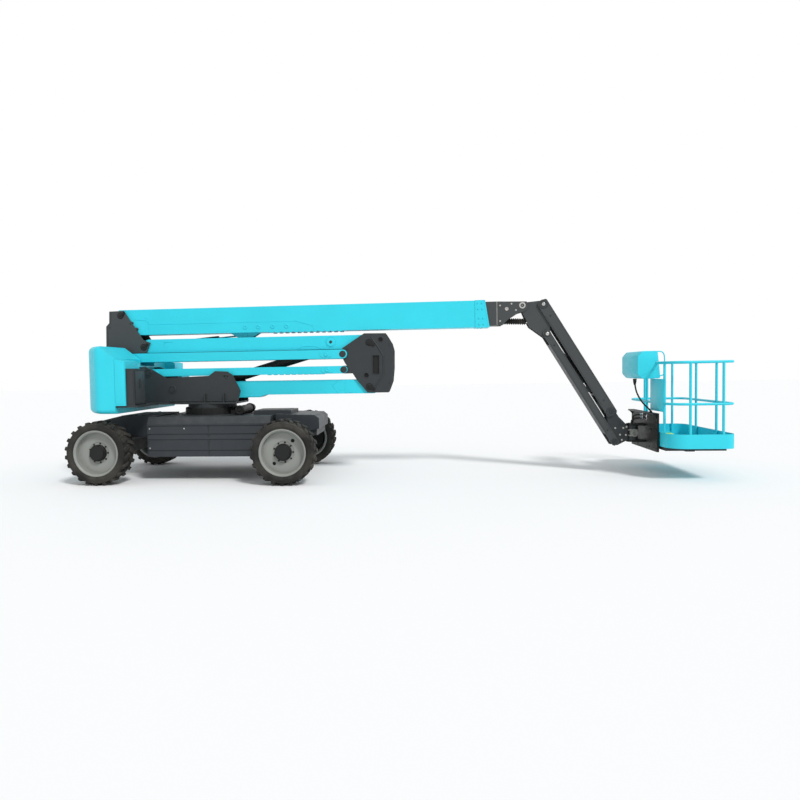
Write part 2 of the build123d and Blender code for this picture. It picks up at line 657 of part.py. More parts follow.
def make_cylinder(base, eye, radius, rod_r, base_pin_r, length, bore_start):
    """A cylinder's barrel: an eye on its base pin, and a bore for the rod."""
    end = between(base, eye, length)
    start = between(base, eye, base_pin_r + 22)
    body = in_plane(start, end, radius)
    body += cross_bar(base, base_pin_r + 24, -radius, radius)
    body -= in_plane(between(base, eye, bore_start), between(base, eye, length + 1), rod_r + FIT,
                     side_count(rod_r))
    return body - cross_hole(base, base_pin_r, -radius - 1, radius + 1)


def make_rod(base, eye, radius, eye_pin_r, inside, half_w):
    """A cylinder's rod with an eye at its end and the pin in it."""
    rod = in_plane(between(base, eye, inside), between(eye, base, eye_pin_r), radius)
    return rod + cross_bar(eye, eye_pin_r + 20, -half_w, half_w)


# Main boom

def boom_box(rear, front, low, high, half_w, slant):
    """A boom section's outer form, with a slanted front end."""
    return slab([(rear, low), (front + slant, low), (front - slant, high), (rear, high)], -half_w, half_w)


def make_main_boom():
    """The outer boom: a box tube with a root at the knuckle, a collar and the lift cylinder's lug."""
    tube = boom_box(BOOM_REAR, BOOM_FRONT, BOOM_LOW, BOOM_HIGH, BOOM_HALF_W, BOOM_SLANT)
    collar = boom_box(BOOM_FRONT - COLLAR_LENGTH, BOOM_FRONT, BOOM_LOW - COLLAR_T, BOOM_HIGH + COLLAR_T,
                      BOOM_HALF_W + COLLAR_T, BOOM_SLANT)
    hollow = box((BOOM_REAR + 200, BOOM_FRONT + 100), (-BOOM_HALF_W + BOOM_WALL, BOOM_HALF_W - BOOM_WALL),
                 (BOOM_LOW + BOOM_WALL, BOOM_HIGH - BOOM_WALL))
    pad_half = BOOM_HALF_W - BOOM_WALL
    pads = box((BOOM_FRONT - 200, BOOM_FRONT - 60), (-pad_half, pad_half),
               (BOOM_LOW + BOOM_WALL, BOOM_HIGH - BOOM_WALL))
    opening = box((BOOM_FRONT - 210, BOOM_FRONT + 100), (-pad_half + PAD_GAP, pad_half - PAD_GAP),
                  (BOOM_LOW + BOOM_WALL + PAD_GAP, BOOM_HIGH - BOOM_WALL - PAD_GAP))
    root = slab([(BOOM_REAR, BOOM_HIGH), (BOOM_PIVOT[0] - 40, BOOM_HIGH), (BOOM_PIVOT[0] - 80, BOOM_PIVOT[1]),
                 (BOOM_PIVOT[0] - 40, BOOM_PIVOT[1] - 80), (BOOM_REAR, BOOM_LOW + 60)], -BOOM_HALF_W, BOOM_HALF_W)
    boom = tube + collar - hollow + (pads - opening) + root
    boom -= cross_hole(BOOM_PIVOT, PIN_R, -BOOM_HALF_W - 1, BOOM_HALF_W + 1)
    lug = [(315, BOOM_LOW), (761, BOOM_LOW), (600, LIFT_CYL_EYE[1] - 45), (480, LIFT_CYL_EYE[1] - 45)]
    boom += both_slabs(lug, 46, 20)
    boom += both_sides(cross_bar(LIFT_CYL_EYE, 42, 46, 78))
    return boom


def fly_half():
    """Half the fly boom's width and its lowest and highest Z."""
    half = BOOM_HALF_W - BOOM_WALL - PAD_GAP - FIT
    return half, BOOM_LOW + BOOM_WALL + PAD_GAP + FIT, BOOM_HIGH - BOOM_WALL - PAD_GAP - FIT


def make_fly_boom():
    """The inner boom: a box tube that narrows to a fork at the bracket's pin."""
    half, low, high = fly_half()
    tube = box((FLY_REAR, 4220), (-half, half), (low, high))
    tube -= box((FLY_REAR - 1, 4221), (-half + FLY_WALL, half - FLY_WALL), (low + FLY_WALL, high - FLY_WALL))
    cheek = [(4220, low), (4290, low), (4360, 2190), (4520, 2290), (4600, 2310), (4650, 2370), (4630, 2448),
             (4330, 2455), (4220, high)]
    cheeks = both_slabs(cheek, FORK_Y, half - FORK_Y)
    top = box((4220, 4480), (-half, half), (2435, 2450))
    fly = tube + cheeks + top + pin(HEAD_PIN, JIB_PIN_R, -half - 10, half + 10)
    return fly + pin(LEVEL_BASE, 22, -half, half)


def make_jib_bracket():
    """The boom head: two plates with four pins, kept level by its cylinder."""
    outline = [(4505, 2430), (4860, 2460), (4925, 2420), (4965, 2300), (4960, 2080), (4965, 1960), (4880, 1935),
               (4680, 2085), (4640, 2160), (4580, 2300), (4520, 2340)]
    plates = both_slabs(outline, BRACKET_Y, BRACKET_T)
    web = box((4850, 4866), (-BRACKET_Y, BRACKET_Y), (2110, 2330))
    bracket = plates + web
    bracket -= cross_hole(HEAD_PIN, JIB_PIN_R, -BRACKET_Y - BRACKET_T - 1, BRACKET_Y + BRACKET_T + 1)
    for at in (JIB_TOP, JIB_LOW):
        bracket += pin(at, JIB_PIN_R, -FORK_Y - FORK_T - 8, FORK_Y + FORK_T + 8)
    return bracket


def arm_outline(start, low, high, before, after):
    """A straight arm's outline from its first pin, before and after being the ends past the pins."""
    ends = (-before, JIB_LENGTH + after)
    return [jib_point(start, ends[0] + 20, low), jib_point(start, ends[1] - 20, low),
            jib_point(start, ends[1], low + 20), jib_point(start, ends[1], high - 20),
            jib_point(start, ends[1] - 20, high), jib_point(start, ends[0] + 20, high),
            jib_point(start, ends[0], high - 20), jib_point(start, ends[0], low + 20)]


def make_arm(start, depth, plates):
    """A jib arm: two cheeks joined by plates, each given by its side and where it runs."""
    half = depth / 2
    cheeks = both_slabs(arm_outline(start, -half, half, 55, 55), FORK_Y, FORK_T)
    for across, first, last in plates:
        low = across * (half - 5) - 5
        plate = [jib_point(start, first, low), jib_point(start, last, low), jib_point(start, last, low + 10),
                 jib_point(start, first, low + 10)]
        cheeks += slab(plate, -FORK_Y, FORK_Y)
    end = jib_point(start)
    for at in (start, end):
        cheeks -= cross_hole(at, JIB_PIN_R, -FORK_Y - FORK_T - 1, FORK_Y + FORK_T + 1)
    return cheeks


def make_upper_arm():
    """The upper jib arm, open below where the jib cylinder lies, with the cylinder's lug."""
    arm = make_arm(JIB_TOP, UPPER_ARM_D, [(1, 240, JIB_LENGTH - 240), (-1, 1440, JIB_LENGTH - 310)])
    near = jib_point(JIB_CYL_EYE, -70, 60)
    far = jib_point(JIB_CYL_EYE, 70, 60)
    lug = [near, far, jib_point(JIB_CYL_EYE, 34, -30), jib_point(JIB_CYL_EYE, -34, -30)]
    arm += both_slabs(lug, 31, 16)
    arm += slab([near, far, jib_point(JIB_CYL_EYE, 70, 50), jib_point(JIB_CYL_EYE, -70, 50)], -FORK_Y, FORK_Y)
    return arm + both_sides(cross_bar(JIB_CYL_EYE, 32, 31, 52))


def make_lower_arm():
    """The lower jib arm, a channel open to the upper one, with the jib cylinder in it."""
    return make_arm(JIB_LOW, LOWER_ARM_D, [(-1, 150, JIB_LENGTH - 150)])


def make_jib_end():
    """The bracket at the jib's lower end with the body of the platform's rotary actuator."""
    outline = [(END_TOP[0] - 60, END_TOP[1] + 30), (END_TOP[0] + 30, END_TOP[1] + 60), (END_TOP[0] + 110, 800),
               (6010, 680), (6020, 470), (END_LOW[0] + 40, 395), (END_LOW[0] - 60, 440)]
    bracket = both_slabs(outline, BRACKET_Y, BRACKET_T)
    bracket += box((5990, 6030), (-BRACKET_Y, BRACKET_Y), (ROTATOR_LOW, ROTATOR_HIGH))
    bracket += post(ROTATOR_X, 0, ROTATOR_R, ROTATOR_LOW, ROTATOR_HIGH)
    bracket -= Pos(ROTATOR_X, 0, ROTATOR_HIGH) * Cylinder(20, 20)
    for at in (END_TOP, END_LOW):
        bracket += pin(at, JIB_PIN_R, -FORK_Y - FORK_T - 8, FORK_Y + FORK_T + 8)
    return bracket


# Platform

def make_support():
    """The platform's carrier: caps on the actuator and the broad upright plate behind the floor."""
    support = Part()
    for z_low, z_high in ((ROTATOR_HIGH + FIT, ROTATOR_HIGH + 30), (ROTATOR_LOW - 30, ROTATOR_LOW - FIT)):
        support += post(ROTATOR_X, 0, ROTATOR_R, z_low, z_high)
        support += box((ROTATOR_X, FLOOR_REAR - 40), (-ROTATOR_R, ROTATOR_R), (z_low, z_high))
    support += box((FLOOR_REAR - 40, FLOOR_REAR - 10), (-PLATE_HALF_W, PLATE_HALF_W), (350, PLATE_TOP))
    return support + box((FLOOR_REAR - 90, FLOOR_REAR - 40), (-PLATE_HALF_W, PLATE_HALF_W), (PLATE_TOP - 14, PLATE_TOP))


def make_beams():
    """The beams under the platform's floor."""
    top = FLOOR_Z - FLOOR_T - FIT
    low = top - 52
    rear = FLOOR_REAR + 10
    front = PLATFORM_FRONT - 55
    beams = box((FLOOR_REAR - 10, front - 80), (-120, 120), (350, TOE_LOW - 2))
    beams += box((rear, front - 80), (-120, 120), (TOE_LOW - 2, top))
    beams += box((front - 300, front - 180), (-140, 140), (308, TOE_LOW - 10))
    for side in (-1, 1):
        y = sorted((side * 640, side * 700))
        beams += box((rear + 10, front), y, (low, top))
    return beams + box((rear + 10, rear + 70), (-700, 700), (low, top))


def tube(points, radius, sides):
    """A cord through points in space, its corners mitred."""
    spots = [Vector(*p) for p in points]
    rings = []
    for k, spot in enumerate(spots):
        before = (spot - spots[k - 1]).normalized() if k else (spots[1] - spot).normalized()
        after = (spots[k + 1] - spot).normalized() if k < len(spots) - 1 else before
        along = (before + after).normalized()
        across = along.cross(Vector(1, 0.2, 0)).normalized()
        other = along.cross(across)
        ring = []
        for step in range(sides):
            turn = 2 * pi * step / sides
            ring.append(spot + across * (radius * cos(turn)) + other * (radius * sin(turn)))
        rings.append(ring)
    faces = [Face(Wire.make_polygon(rings[0])), Face(Wire.make_polygon(rings[-1]))]
    for first, second in zip(rings, rings[1:]):
        for k in range(sides):
            nxt = (k + 1) % sides
            faces.append(Face(Wire.make_polygon([first[k], first[nxt], second[nxt]])))
            faces.append(Face(Wire.make_polygon([first[k], second[nxt], second[k]])))
    return Solid(Shell(faces))


def make_cable():
    """The cable that hangs from the console's gland to the carrier."""
    points = [(6140, 0, 1320), (6140, 0, 1240), (6150, -60, 1120), (6185, -170, 1005), (6230, -270, 930),
              (6250, -330, 895), (6250, -330, PLATE_TOP)]
    gland = post(6140, 0, 24, 1285, 1330)
    return tube(points, 11, 6) + gland + post(6250, -330, 16, PLATE_TOP, PLATE_TOP + 18)


def corner_turns(index):
    """The turns of the platform's corners: front far, rear far, rear near, front near."""
    return [90 * index + 30 * k for k in range(4)]


def corner_at(index):
    """A corner's centre in plan and its radius."""
    radius = FRONT_CORNER_R if index in (0, 3) else REAR_CORNER_R
    x = PLATFORM_FRONT - radius if index in (0, 3) else FLOOR_REAR + radius
    return x, (1 if index < 2 else -1) * (PLATFORM_HALF_W - radius), radius


def platform_plan(inset):
    """The platform's outline in plan, its corners in three flats each."""
    points = []
    for index in range(4):
        x, y, radius = corner_at(index)
        points += [(x + (radius - inset) * cos(radians(t)), y + (radius - inset) * sin(radians(t)))
                   for t in corner_turns(index)]
    return points


def make_floor():
    """The floor plate, inside the toe boards."""
    face = make_face(Polyline(*platform_plan(TOE_T), close=True))
    return extrude(Plane.XY.offset(FLOOR_Z - FLOOR_T) * face, amount=FLOOR_T)


def rail_profile(radius, height):
    """A round rail's section, with flat sides, as radii and heights about a corner's centre."""
    turns = [pi / 8 + pi / 4 * k for k in range(8)]
    corner = RAIL_R / cos(pi / 8)
    return [(radius + corner * cos(t), height + corner * sin(t)) for t in turns]


def make_rails():
    """Four flat frames, one to a side: toe board, two rails and their posts."""
    inset = TOE_T + RAIL_R
    edge = RAIL_R / cos(pi / 8)
    frames = []
    for side in (-1, 1):
        y = side * (PLATFORM_HALF_W - inset)
        x_low = FLOOR_REAR + REAR_CORNER_R
        x_high = PLATFORM_FRONT - FRONT_CORNER_R
        frame = box((x_low, x_high), sorted((side * PLATFORM_HALF_W, side * (PLATFORM_HALF_W - TOE_T))), (TOE_LOW, TOE_HIGH))
        for height in (TOP_RAIL_Z, MID_RAIL_Z):
            frame += bar((x_low, y, height), (x_high, y, height), edge, 8)
        for x in SIDE_POSTS:
            frame += post(x, y, edge, TOE_HIGH - 150, TOP_RAIL_Z, 8)
        frames.append(frame)
    for end, board, y_half, posts in ((FLOOR_REAR, 1, PLATFORM_HALF_W - REAR_CORNER_R, REAR_POSTS),
                                      (PLATFORM_FRONT, -1, PLATFORM_HALF_W - FRONT_CORNER_R, FRONT_POSTS)):
        x = end + board * inset
        frame = box(sorted((end, end + board * TOE_T)), (-y_half, y_half), (TOE_LOW, TOE_HIGH))
        for height in (TOP_RAIL_Z, MID_RAIL_Z):
            frame += bar((x, -y_half, height), (x, y_half, height), edge, 8)
        for y in posts:
            frame += post(x, y, edge, TOE_HIGH - 150, TOP_RAIL_Z, 8)
        frames.append(frame)
    return Part() + frames


def make_corners():
    """The bent corners between the frames: two rails and a toe board at each."""
    pieces = []
    for index in range(4):
        x, y, radius = corner_at(index)
        turns = corner_turns(index)
        for height in (TOP_RAIL_Z, MID_RAIL_Z):
            pieces.append(Pos(x, y, 0) * turned(rail_profile(radius - TOE_T - RAIL_R, height), turns))
        board = [(radius - TOE_T, TOE_LOW), (radius, TOE_LOW), (radius, TOE_HIGH), (radius - TOE_T, TOE_HIGH)]
        pieces.append(Pos(x, y, 0) * turned(board, turns))
    return Compound(children=pieces)


def make_console():
    """The control console's folded shroud, which straddles the rear rail, and the panel below it."""
    back = FLOOR_REAR + TOE_T - FIT
    rail = FLOOR_REAR + TOE_T + RAIL_R
    room = RAIL_R + FIT
    outline = [(6070, 1400), (6070, 1640), (6130, 1711), (6330, 1711), (6368, 1330), (6130, 1330)]
    shroud = slab(outline, -355, 355) - slab([(6080, 1404), (6080, 1636), (6134, 1701), (6400, 1701), (6400, 1340),
                                              (6134, 1340)], -345, 345)
    shroud += box((6080, back), (-345, 345), (1500, 1512))
    shroud -= box((rail - room, rail + room), (-356, 356), (TOP_RAIL_Z - room, TOP_RAIL_Z + room))
    for y in REAR_POSTS:
        if abs(y) < 345:
            shroud -= box((rail - room, rail + room), (y - room, y + room), (1329, 1341))
    return shroud + box((back - 6, back), (-660, -160), (896, 1330))


# Building and writing every piece

RISER_SPAN = hypot(RISER_CYL_EYE[0] - RISER_CYL_BASE[0], RISER_CYL_EYE[1] - RISER_CYL_BASE[1])
LIFT_SPAN = hypot(LIFT_CYL_EYE[0] - LIFT_CYL_BASE[0], LIFT_CYL_EYE[1] - LIFT_CYL_BASE[1])
LEVEL_SPAN = hypot(LEVEL_EYE[0] - LEVEL_BASE[0], LEVEL_EYE[1] - LEVEL_BASE[1])
JIB_SPAN = hypot(JIB_CYL_EYE[0] - JIB_LOW[0], JIB_CYL_EYE[1] - JIB_LOW[1])


def build():
    """Every piece by its name, X counted from the slew axis."""
    knuckle = make_knuckle()
    pieces = {
        "chassis_frame": make_frame(),
        "chassis_covers": make_covers(),
        "end_hoods": make_hoods(),
        "slew_ring": make_slew_ring(),
        "steer_axle": make_steer_axle(),
        "knuckle_near": knuckle,
        "knuckle_far": mirror(knuckle, about=Plane.XZ),
        "steer_rod": make_steer_rod(),
        "drive_axle": make_drive_axle(),
        "turntable": make_turntable(),
        "counterweight": make_counterweight(),
        "side_cover": make_side_cover(),
        "control_cabinet": make_cabinet(),
        "far_hood": make_far_hood(),
        "lower_beam": make_lower_beam(),
        "lower_link": make_link_pair(B_BASE, B_MID, B_LOW, B_HIGH),
        "mid_knuckle": make_mid_knuckle(),
        "upper_link": make_link_pair(C_TOP, C_MID, C_LOW, C_HIGH),
        "upper_beam": make_upper_beam(),
        "upper_knuckle": make_upper_knuckle(),
        "riser_cylinder": make_cylinder(RISER_CYL_BASE, RISER_CYL_EYE, RISER_CYL_R, RISER_ROD_R, 32,
                                        RISER_SPAN - 190, 860),
        "riser_rod": make_rod(RISER_CYL_BASE, RISER_CYL_EYE, RISER_ROD_R, 30, 900, 60),
        "main_boom": make_main_boom(),
        "lift_cylinder": make_cylinder(LIFT_CYL_BASE, LIFT_CYL_EYE, LIFT_CYL_R, LIFT_ROD_R, PIN_R,
                                       LIFT_SPAN - 420, 120),
        "lift_rod": make_rod(LIFT_CYL_BASE, LIFT_CYL_EYE, LIFT_ROD_R, 30, 150, 40),
        "fly_boom": make_fly_boom(),
        "level_cylinder": make_cylinder(LEVEL_BASE, LEVEL_EYE, LEVEL_CYL_R, LEVEL_ROD_R, 22, LEVEL_SPAN - 420,
                                        90),
        "level_rod": make_rod(LEVEL_BASE, LEVEL_EYE, LEVEL_ROD_R, 22, 440, 50),
        "jib_bracket": make_jib_bracket(),
        "jib_upper_arm": make_upper_arm(),
        "jib_lower_arm": make_lower_arm(),
        "jib_cylinder": make_cylinder(JIB_LOW, JIB_CYL_EYE, JIB_CYL_R, JIB_ROD_R, JIB_PIN_R, JIB_SPAN - 110,
                                      65),
        "jib_rod": make_rod(JIB_LOW, JIB_CYL_EYE, JIB_ROD_R, 20, 80, 25),
        "jib_end": make_jib_end(),
        "platform_support": make_support(),
        "floor_beams": make_beams(),
        "platform_floor": make_floor(),
        "platform_rails": make_rails(),
        "platform_corners": make_corners(),
        "console": make_console(),
        "console_cable": make_cable(),
    }
    tyre = make_tyre()
    rim = make_rim()
    for end, end_name in ((-1, "rear"), (1, "front")):
        for side, side_name in ((-1, "near"), (1, "far")):
            place = wheel_place(end, side)
            pieces["tyre_" + end_name + "_" + side_name] = place * tyre
            pieces["rim_" + end_name + "_" + side_name] = place * rim
    return pieces


os.makedirs("parts", exist_ok=True)
for name, piece in build().items():
    export_step(Pos(SLEW_X, 0, 0) * piece, "parts/" + name + ".step")
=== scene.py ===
import json
import math

import bmesh
import bpy
from mathutils import Matrix, Vector


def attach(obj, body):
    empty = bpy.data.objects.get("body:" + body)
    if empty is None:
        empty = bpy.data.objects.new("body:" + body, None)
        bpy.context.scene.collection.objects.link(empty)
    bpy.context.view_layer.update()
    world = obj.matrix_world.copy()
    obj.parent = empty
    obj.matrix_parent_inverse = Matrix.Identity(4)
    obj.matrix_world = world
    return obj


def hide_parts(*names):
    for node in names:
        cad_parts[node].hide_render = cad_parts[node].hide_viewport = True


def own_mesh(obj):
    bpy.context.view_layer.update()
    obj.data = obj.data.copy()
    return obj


# An articulating boom lift, dressed for its picture.
# Places are given in millimetres, X counted from the slew axis as in the part's source.

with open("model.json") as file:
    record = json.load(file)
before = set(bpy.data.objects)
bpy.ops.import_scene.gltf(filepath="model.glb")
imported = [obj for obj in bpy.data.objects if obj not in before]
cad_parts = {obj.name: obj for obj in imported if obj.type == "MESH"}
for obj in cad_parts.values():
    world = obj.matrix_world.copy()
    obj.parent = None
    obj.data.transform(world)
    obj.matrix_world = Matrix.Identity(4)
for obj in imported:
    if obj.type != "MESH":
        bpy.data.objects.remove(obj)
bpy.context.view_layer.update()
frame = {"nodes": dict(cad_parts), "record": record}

SLEW_X = -2702.5
NEAR = -1
FAR = 1


def mm(x, y, z):
    """A point in the frame, in metres, from millimetres counted from the slew axis."""
    return Vector(((x + SLEW_X) / 1000, y / 1000, z / 1000))


# Camera

CAMERA_AT = mm(3096, -9966, 1501)
LENS = 30.5
SHIFT_X = 0.0658
YAW = 0.105
PITCH = -0.042
ROLL = 0.017


def make_camera():
    """The photograph's viewpoint, with its frame shifted a little sideways."""
    forward = Vector((-math.sin(YAW) * math.cos(PITCH), math.cos(YAW) * math.cos(PITCH), math.sin(PITCH)))
    right = Vector((math.cos(YAW), math.sin(YAW), 0))
    up = right.cross(forward)
    rolled_right = right * math.cos(ROLL) - up * math.sin(ROLL)
    rolled_up = right * math.sin(ROLL) + up * math.cos(ROLL)
    data = bpy.data.cameras.new("camera")
    data.lens = LENS
    data.sensor_width = 36
    data.sensor_fit = "HORIZONTAL"
    data.shift_x = SHIFT_X
    data.clip_end = 200
    camera = bpy.data.objects.new("camera", data)
    turn = Matrix((rolled_right, rolled_up, -forward)).transposed()
    camera.matrix_world = Matrix.Translation(CAMERA_AT) @ turn.to_4x4()
    bpy.context.scene.collection.objects.link(camera)
    bpy.context.scene.camera = camera


# Light and floor

FLOOR_COLOR = (0.93, 0.93, 0.93, 1)
SUN_STRENGTH = 2.0
SUN_FROM = Vector((0.55, -0.75, 0.9))
WORLD_LEVEL = 0.62


def make_light():
    """A soft sun from the front right and an even pale sky."""
    data = bpy.data.lights.new("sun", "SUN")
    data.energy = SUN_STRENGTH
    data.angle = math.radians(12)
    sun = bpy.data.objects.new("sun", data)
    sun.rotation_euler = SUN_FROM.to_track_quat("Z", "Y").to_euler()
    bpy.context.scene.collection.objects.link(sun)
    world = bpy.data.worlds.new("world")
    bpy.context.scene.world = world
    world.use_nodes = True
    tree = world.node_tree
    tree.nodes.clear()
    path = tree.nodes.new("ShaderNodeLightPath")
    seen = tree.nodes.new("ShaderNodeMath")
    seen.operation = "MAXIMUM"
    white = tree.nodes.new("ShaderNodeBackground")
    white.inputs["Color"].default_value = (1, 1, 1, 1)
    white.inputs["Strength"].default_value = 1
    sky = tree.nodes.new("ShaderNodeBackground")
    sky.inputs["Color"].default_value = (0.97, 0.985, 1, 1)
    sky.inputs["Strength"].default_value = WORLD_LEVEL
    mix = tree.nodes.new("ShaderNodeMixShader")
    out = tree.nodes.new("ShaderNodeOutputWorld")
    tree.links.new(path.outputs["Is Camera Ray"], seen.inputs[0])
    tree.links.new(path.outputs["Is Glossy Ray"], seen.inputs[1])
    tree.links.new(seen.outputs[0], mix.inputs["Fac"])
    tree.links.new(sky.outputs[0], mix.inputs[1])
    tree.links.new(white.outputs[0], mix.inputs[2])
    tree.links.new(mix.outputs[0], out.inputs["Surface"])


def make_floor():
    """A wide pale floor that takes the shadow."""
    mesh = bpy.data.meshes.new("floor")
    reach = 60
    mesh.from_pydata([(-reach, -reach, 0), (reach, -reach, 0), (reach, reach, 0), (-reach, reach, 0)], [],
                     [(0, 1, 2, 3)])
    floor = bpy.data.objects.new("floor", mesh)
    bpy.context.scene.collection.objects.link(floor)
    material = bpy.data.materials.new("floor")
    material.use_nodes = True
    shader = material.node_tree.nodes["Principled BSDF"]
    shader.inputs["Base Color"].default_value = FLOOR_COLOR
    shader.inputs["Roughness"].default_value = 0.9
    shader.inputs["Specular IOR Level"].default_value = 0.1
    mesh.materials.append(material)


# Materials

def add_noise(tree, scale, detail=4.0):
    """Noise in the piece's own coordinates, in metres."""
    place = tree.nodes.new("ShaderNodeTexCoord")
    noise = tree.nodes.new("ShaderNodeTexNoise")
    noise.inputs["Scale"].default_value = scale
    noise.inputs["Detail"].default_value = detail
    tree.links.new(place.outputs["Object"], noise.inputs["Vector"])
    return noise.outputs["Fac"]


def add_range(tree, value, low, high, to_low, to_high):
    """Maps a value from one range to another, within its ends."""
    node = tree.nodes.new("ShaderNodeMapRange")
    node.inputs["From Min"].default_value = low
    node.inputs["From Max"].default_value = high
    node.inputs["To Min"].default_value = to_low
    node.inputs["To Max"].default_value = to_high
    tree.links.new(value, node.inputs["Value"])
    return node.outputs["Result"]


def add_mix(tree, factor, first, second):
    """Mixes two colours, each a colour or a socket, by a factor's socket."""
    node = tree.nodes.new("ShaderNodeMix")
    node.data_type = "RGBA"
    tree.links.new(factor, node.inputs["Factor"])
    for name, value in (("A", first), ("B", second)):
        socket = [s for s in node.inputs if s.name == name and s.type == "RGBA"][0]
        if isinstance(value, tuple):
            socket.default_value = value
        else:
            tree.links.new(value, socket)
    return [s for s in node.outputs if s.type == "RGBA"][0]


def add_math(tree, operation, first, second):
    """A sum, product or the like of two values, each a number or a socket."""
    node = tree.nodes.new("ShaderNodeMath")
    node.operation = operation
    for index, value in enumerate((first, second)):
        if isinstance(value, (int, float)):
            node.inputs[index].default_value = value
        else:
            tree.links.new(value, node.inputs[index])
    return node.outputs[0]


EDGE_R = 0.004


def add_bump(tree, shader, height, strength, distance, edge=0.0):
    """Fine relief, and edges that catch the light where edge is their radius in metres."""
    node = tree.nodes.new("ShaderNodeBump")
    if edge:
        round_edge = tree.nodes.new("ShaderNodeBevel")
        round_edge.samples = 4
        round_edge.inputs["Radius"].default_value = edge
        tree.links.new(round_edge.outputs["Normal"], node.inputs["Normal"])
    node.inputs["Strength"].default_value = strength
    node.inputs["Distance"].default_value = distance
    tree.links.new(height, node.inputs["Height"])
    tree.links.new(node.outputs["Normal"], shader.inputs["Normal"])


def start_material(name, metallic=0.0):
    """A new material with its node tree and its shader."""
    material = bpy.data.materials.new(name)
    material.use_nodes = True
    shader = material.node_tree.nodes["Principled BSDF"]
    shader.inputs["Metallic"].default_value = metallic
    return material, material.node_tree, shader


DUST = (0.30, 0.27, 0.22, 1)


def add_dust(tree, color, amount, scale=9):
    """Dust that lies on faces turned up, thinner in patches."""
    shape = tree.nodes.new("ShaderNodeNewGeometry")
    split = tree.nodes.new("ShaderNodeSeparateXYZ")
    tree.links.new(shape.outputs["Normal"], split.inputs["Vector"])
    top = add_range(tree, split.outputs["Z"], 0.2, 0.95, 0.15, 1.0)
    patch = add_range(tree, add_noise(tree, scale), 0.4, 0.7, 0.3, 1.0)
    mask = add_math(tree, "MULTIPLY", add_math(tree, "MULTIPLY", top, patch), amount)
    return add_mix(tree, mask, color, DUST)


def make_paint(name, color, roughness, dust, coat):
    """Sprayed paint: a fine orange peel, slight mottling, dust on top faces."""
    material, tree, shader = start_material(name)
    mottle = add_range(tree, add_noise(tree, 2.5), 0.3, 0.7, 0.0, 1.0)
    light = tuple(min(1, c * 1.03) for c in color) + (1,)
    deep = tuple(c * 0.97 for c in color) + (1,)
    paint = add_mix(tree, mottle, deep, light)
    tree.links.new(add_dust(tree, paint, dust), shader.inputs["Base Color"])
    rough = add_range(tree, add_noise(tree, 14), 0.3, 0.7, roughness - 0.06, roughness + 0.08)
    tree.links.new(rough, shader.inputs["Roughness"])
    shader.inputs["Coat Weight"].default_value = coat
    shader.inputs["Coat Roughness"].default_value = 0.2
    shader.inputs["Specular IOR Level"].default_value = 0.3
    add_bump(tree, shader, add_noise(tree, 260, 2.0), 0.05, 0.001, EDGE_R)
    return material


def make_rubber(name, color, dust):
    """Tyre and hose rubber, grey with dust where it wears."""
    material, tree, shader = start_material(name)
    mottle = add_range(tree, add_noise(tree, 7), 0.35, 0.7, 0.0, 1.0)
    rubber = add_mix(tree, mottle, color + (1,), tuple(c * 1.7 for c in color) + (1,))
    dirt = add_range(tree, add_noise(tree, 3.5, 6.0), 0.42, 0.66, 0.0, dust)
    rubber = add_mix(tree, dirt, rubber, (0.20, 0.18, 0.145, 1))
    tree.links.new(add_dust(tree, rubber, dust), shader.inputs["Base Color"])
    shader.inputs["Roughness"].default_value = 0.85
    shader.inputs["Specular IOR Level"].default_value = 0.25
    add_bump(tree, shader, add_noise(tree, 70), 0.25, 0.002)
    return material


def make_steel(name, color, roughness):
    """Bare metal: brushed or ground, with uneven gloss."""
    material, tree, shader = start_material(name, metallic=1.0)
    mottle = add_range(tree, add_noise(tree, 20), 0.3, 0.7, 0.0, 1.0)
    metal = add_mix(tree, mottle, color + (1,), tuple(min(1, c * 1.2) for c in color) + (1,))
    tree.links.new(metal, shader.inputs["Base Color"])
    rough = add_range(tree, add_noise(tree, 40), 0.3, 0.7, roughness * 0.8, roughness * 1.3)
    tree.links.new(rough, shader.inputs["Roughness"])
    return material


TEAL = (0.030, 0.62, 0.75)
DARK = (0.028, 0.033, 0.036)
# A lighter copy of the dark paint: painted light, for dark-painted parts and faces that stand in the sun.
DARK_PAINT_LIT = (0.048, 0.053, 0.055)
MATERIALS = {
    "teal_paint": make_paint("teal_paint", TEAL, 0.42, 0.02, 0.06),
    "dark_paint": make_paint("dark_paint", DARK, 0.50, 0.07, 0.04),
    "chassis_paint": make_paint("chassis_paint", (0.026, 0.031, 0.037), 0.48, 0.12, 0.04),
    "lit_dark_paint": make_paint("lit_dark_paint", DARK_PAINT_LIT, 0.48, 0.06, 0.04),
    "rim_paint": make_paint("rim_paint", (0.27, 0.28, 0.26), 0.36, 0.10, 0.1),
    "tyre_rubber": make_rubber("tyre_rubber", (0.013, 0.013, 0.0125), 0.13),
    "black_steel": make_paint("black_steel", (0.006, 0.0065, 0.0065), 0.5, 0.03, 0.0),
    "bare_steel": make_steel("bare_steel", (0.42, 0.41, 0.39), 0.38),
    "rod_chrome": make_steel("rod_chrome", (0.66, 0.67, 0.68), 0.14),
    "pedal_paint": make_paint("pedal_paint", (0.42, 0.72, 0.10), 0.45, 0.05, 0.1),
}


# The upper knuckle, fly boom and jib take the lighter copy of the dark paint, which is painted light; the other
# nodes here take black steel.
SHADES = {"upper_knuckle": "lit_dark_paint", "fly_boom": "lit_dark_paint", "jib_upper_arm": "lit_dark_paint",
          "jib_lower_arm": "lit_dark_paint", "jib_bracket": "lit_dark_paint", "platform_support": "black_steel",
          "slew_ring": "black_steel", "steer_axle": "black_steel", "drive_axle": "black_steel",
          "riser_cylinder": "black_steel", "lift_cylinder": "black_steel", "level_cylinder": "black_steel"}


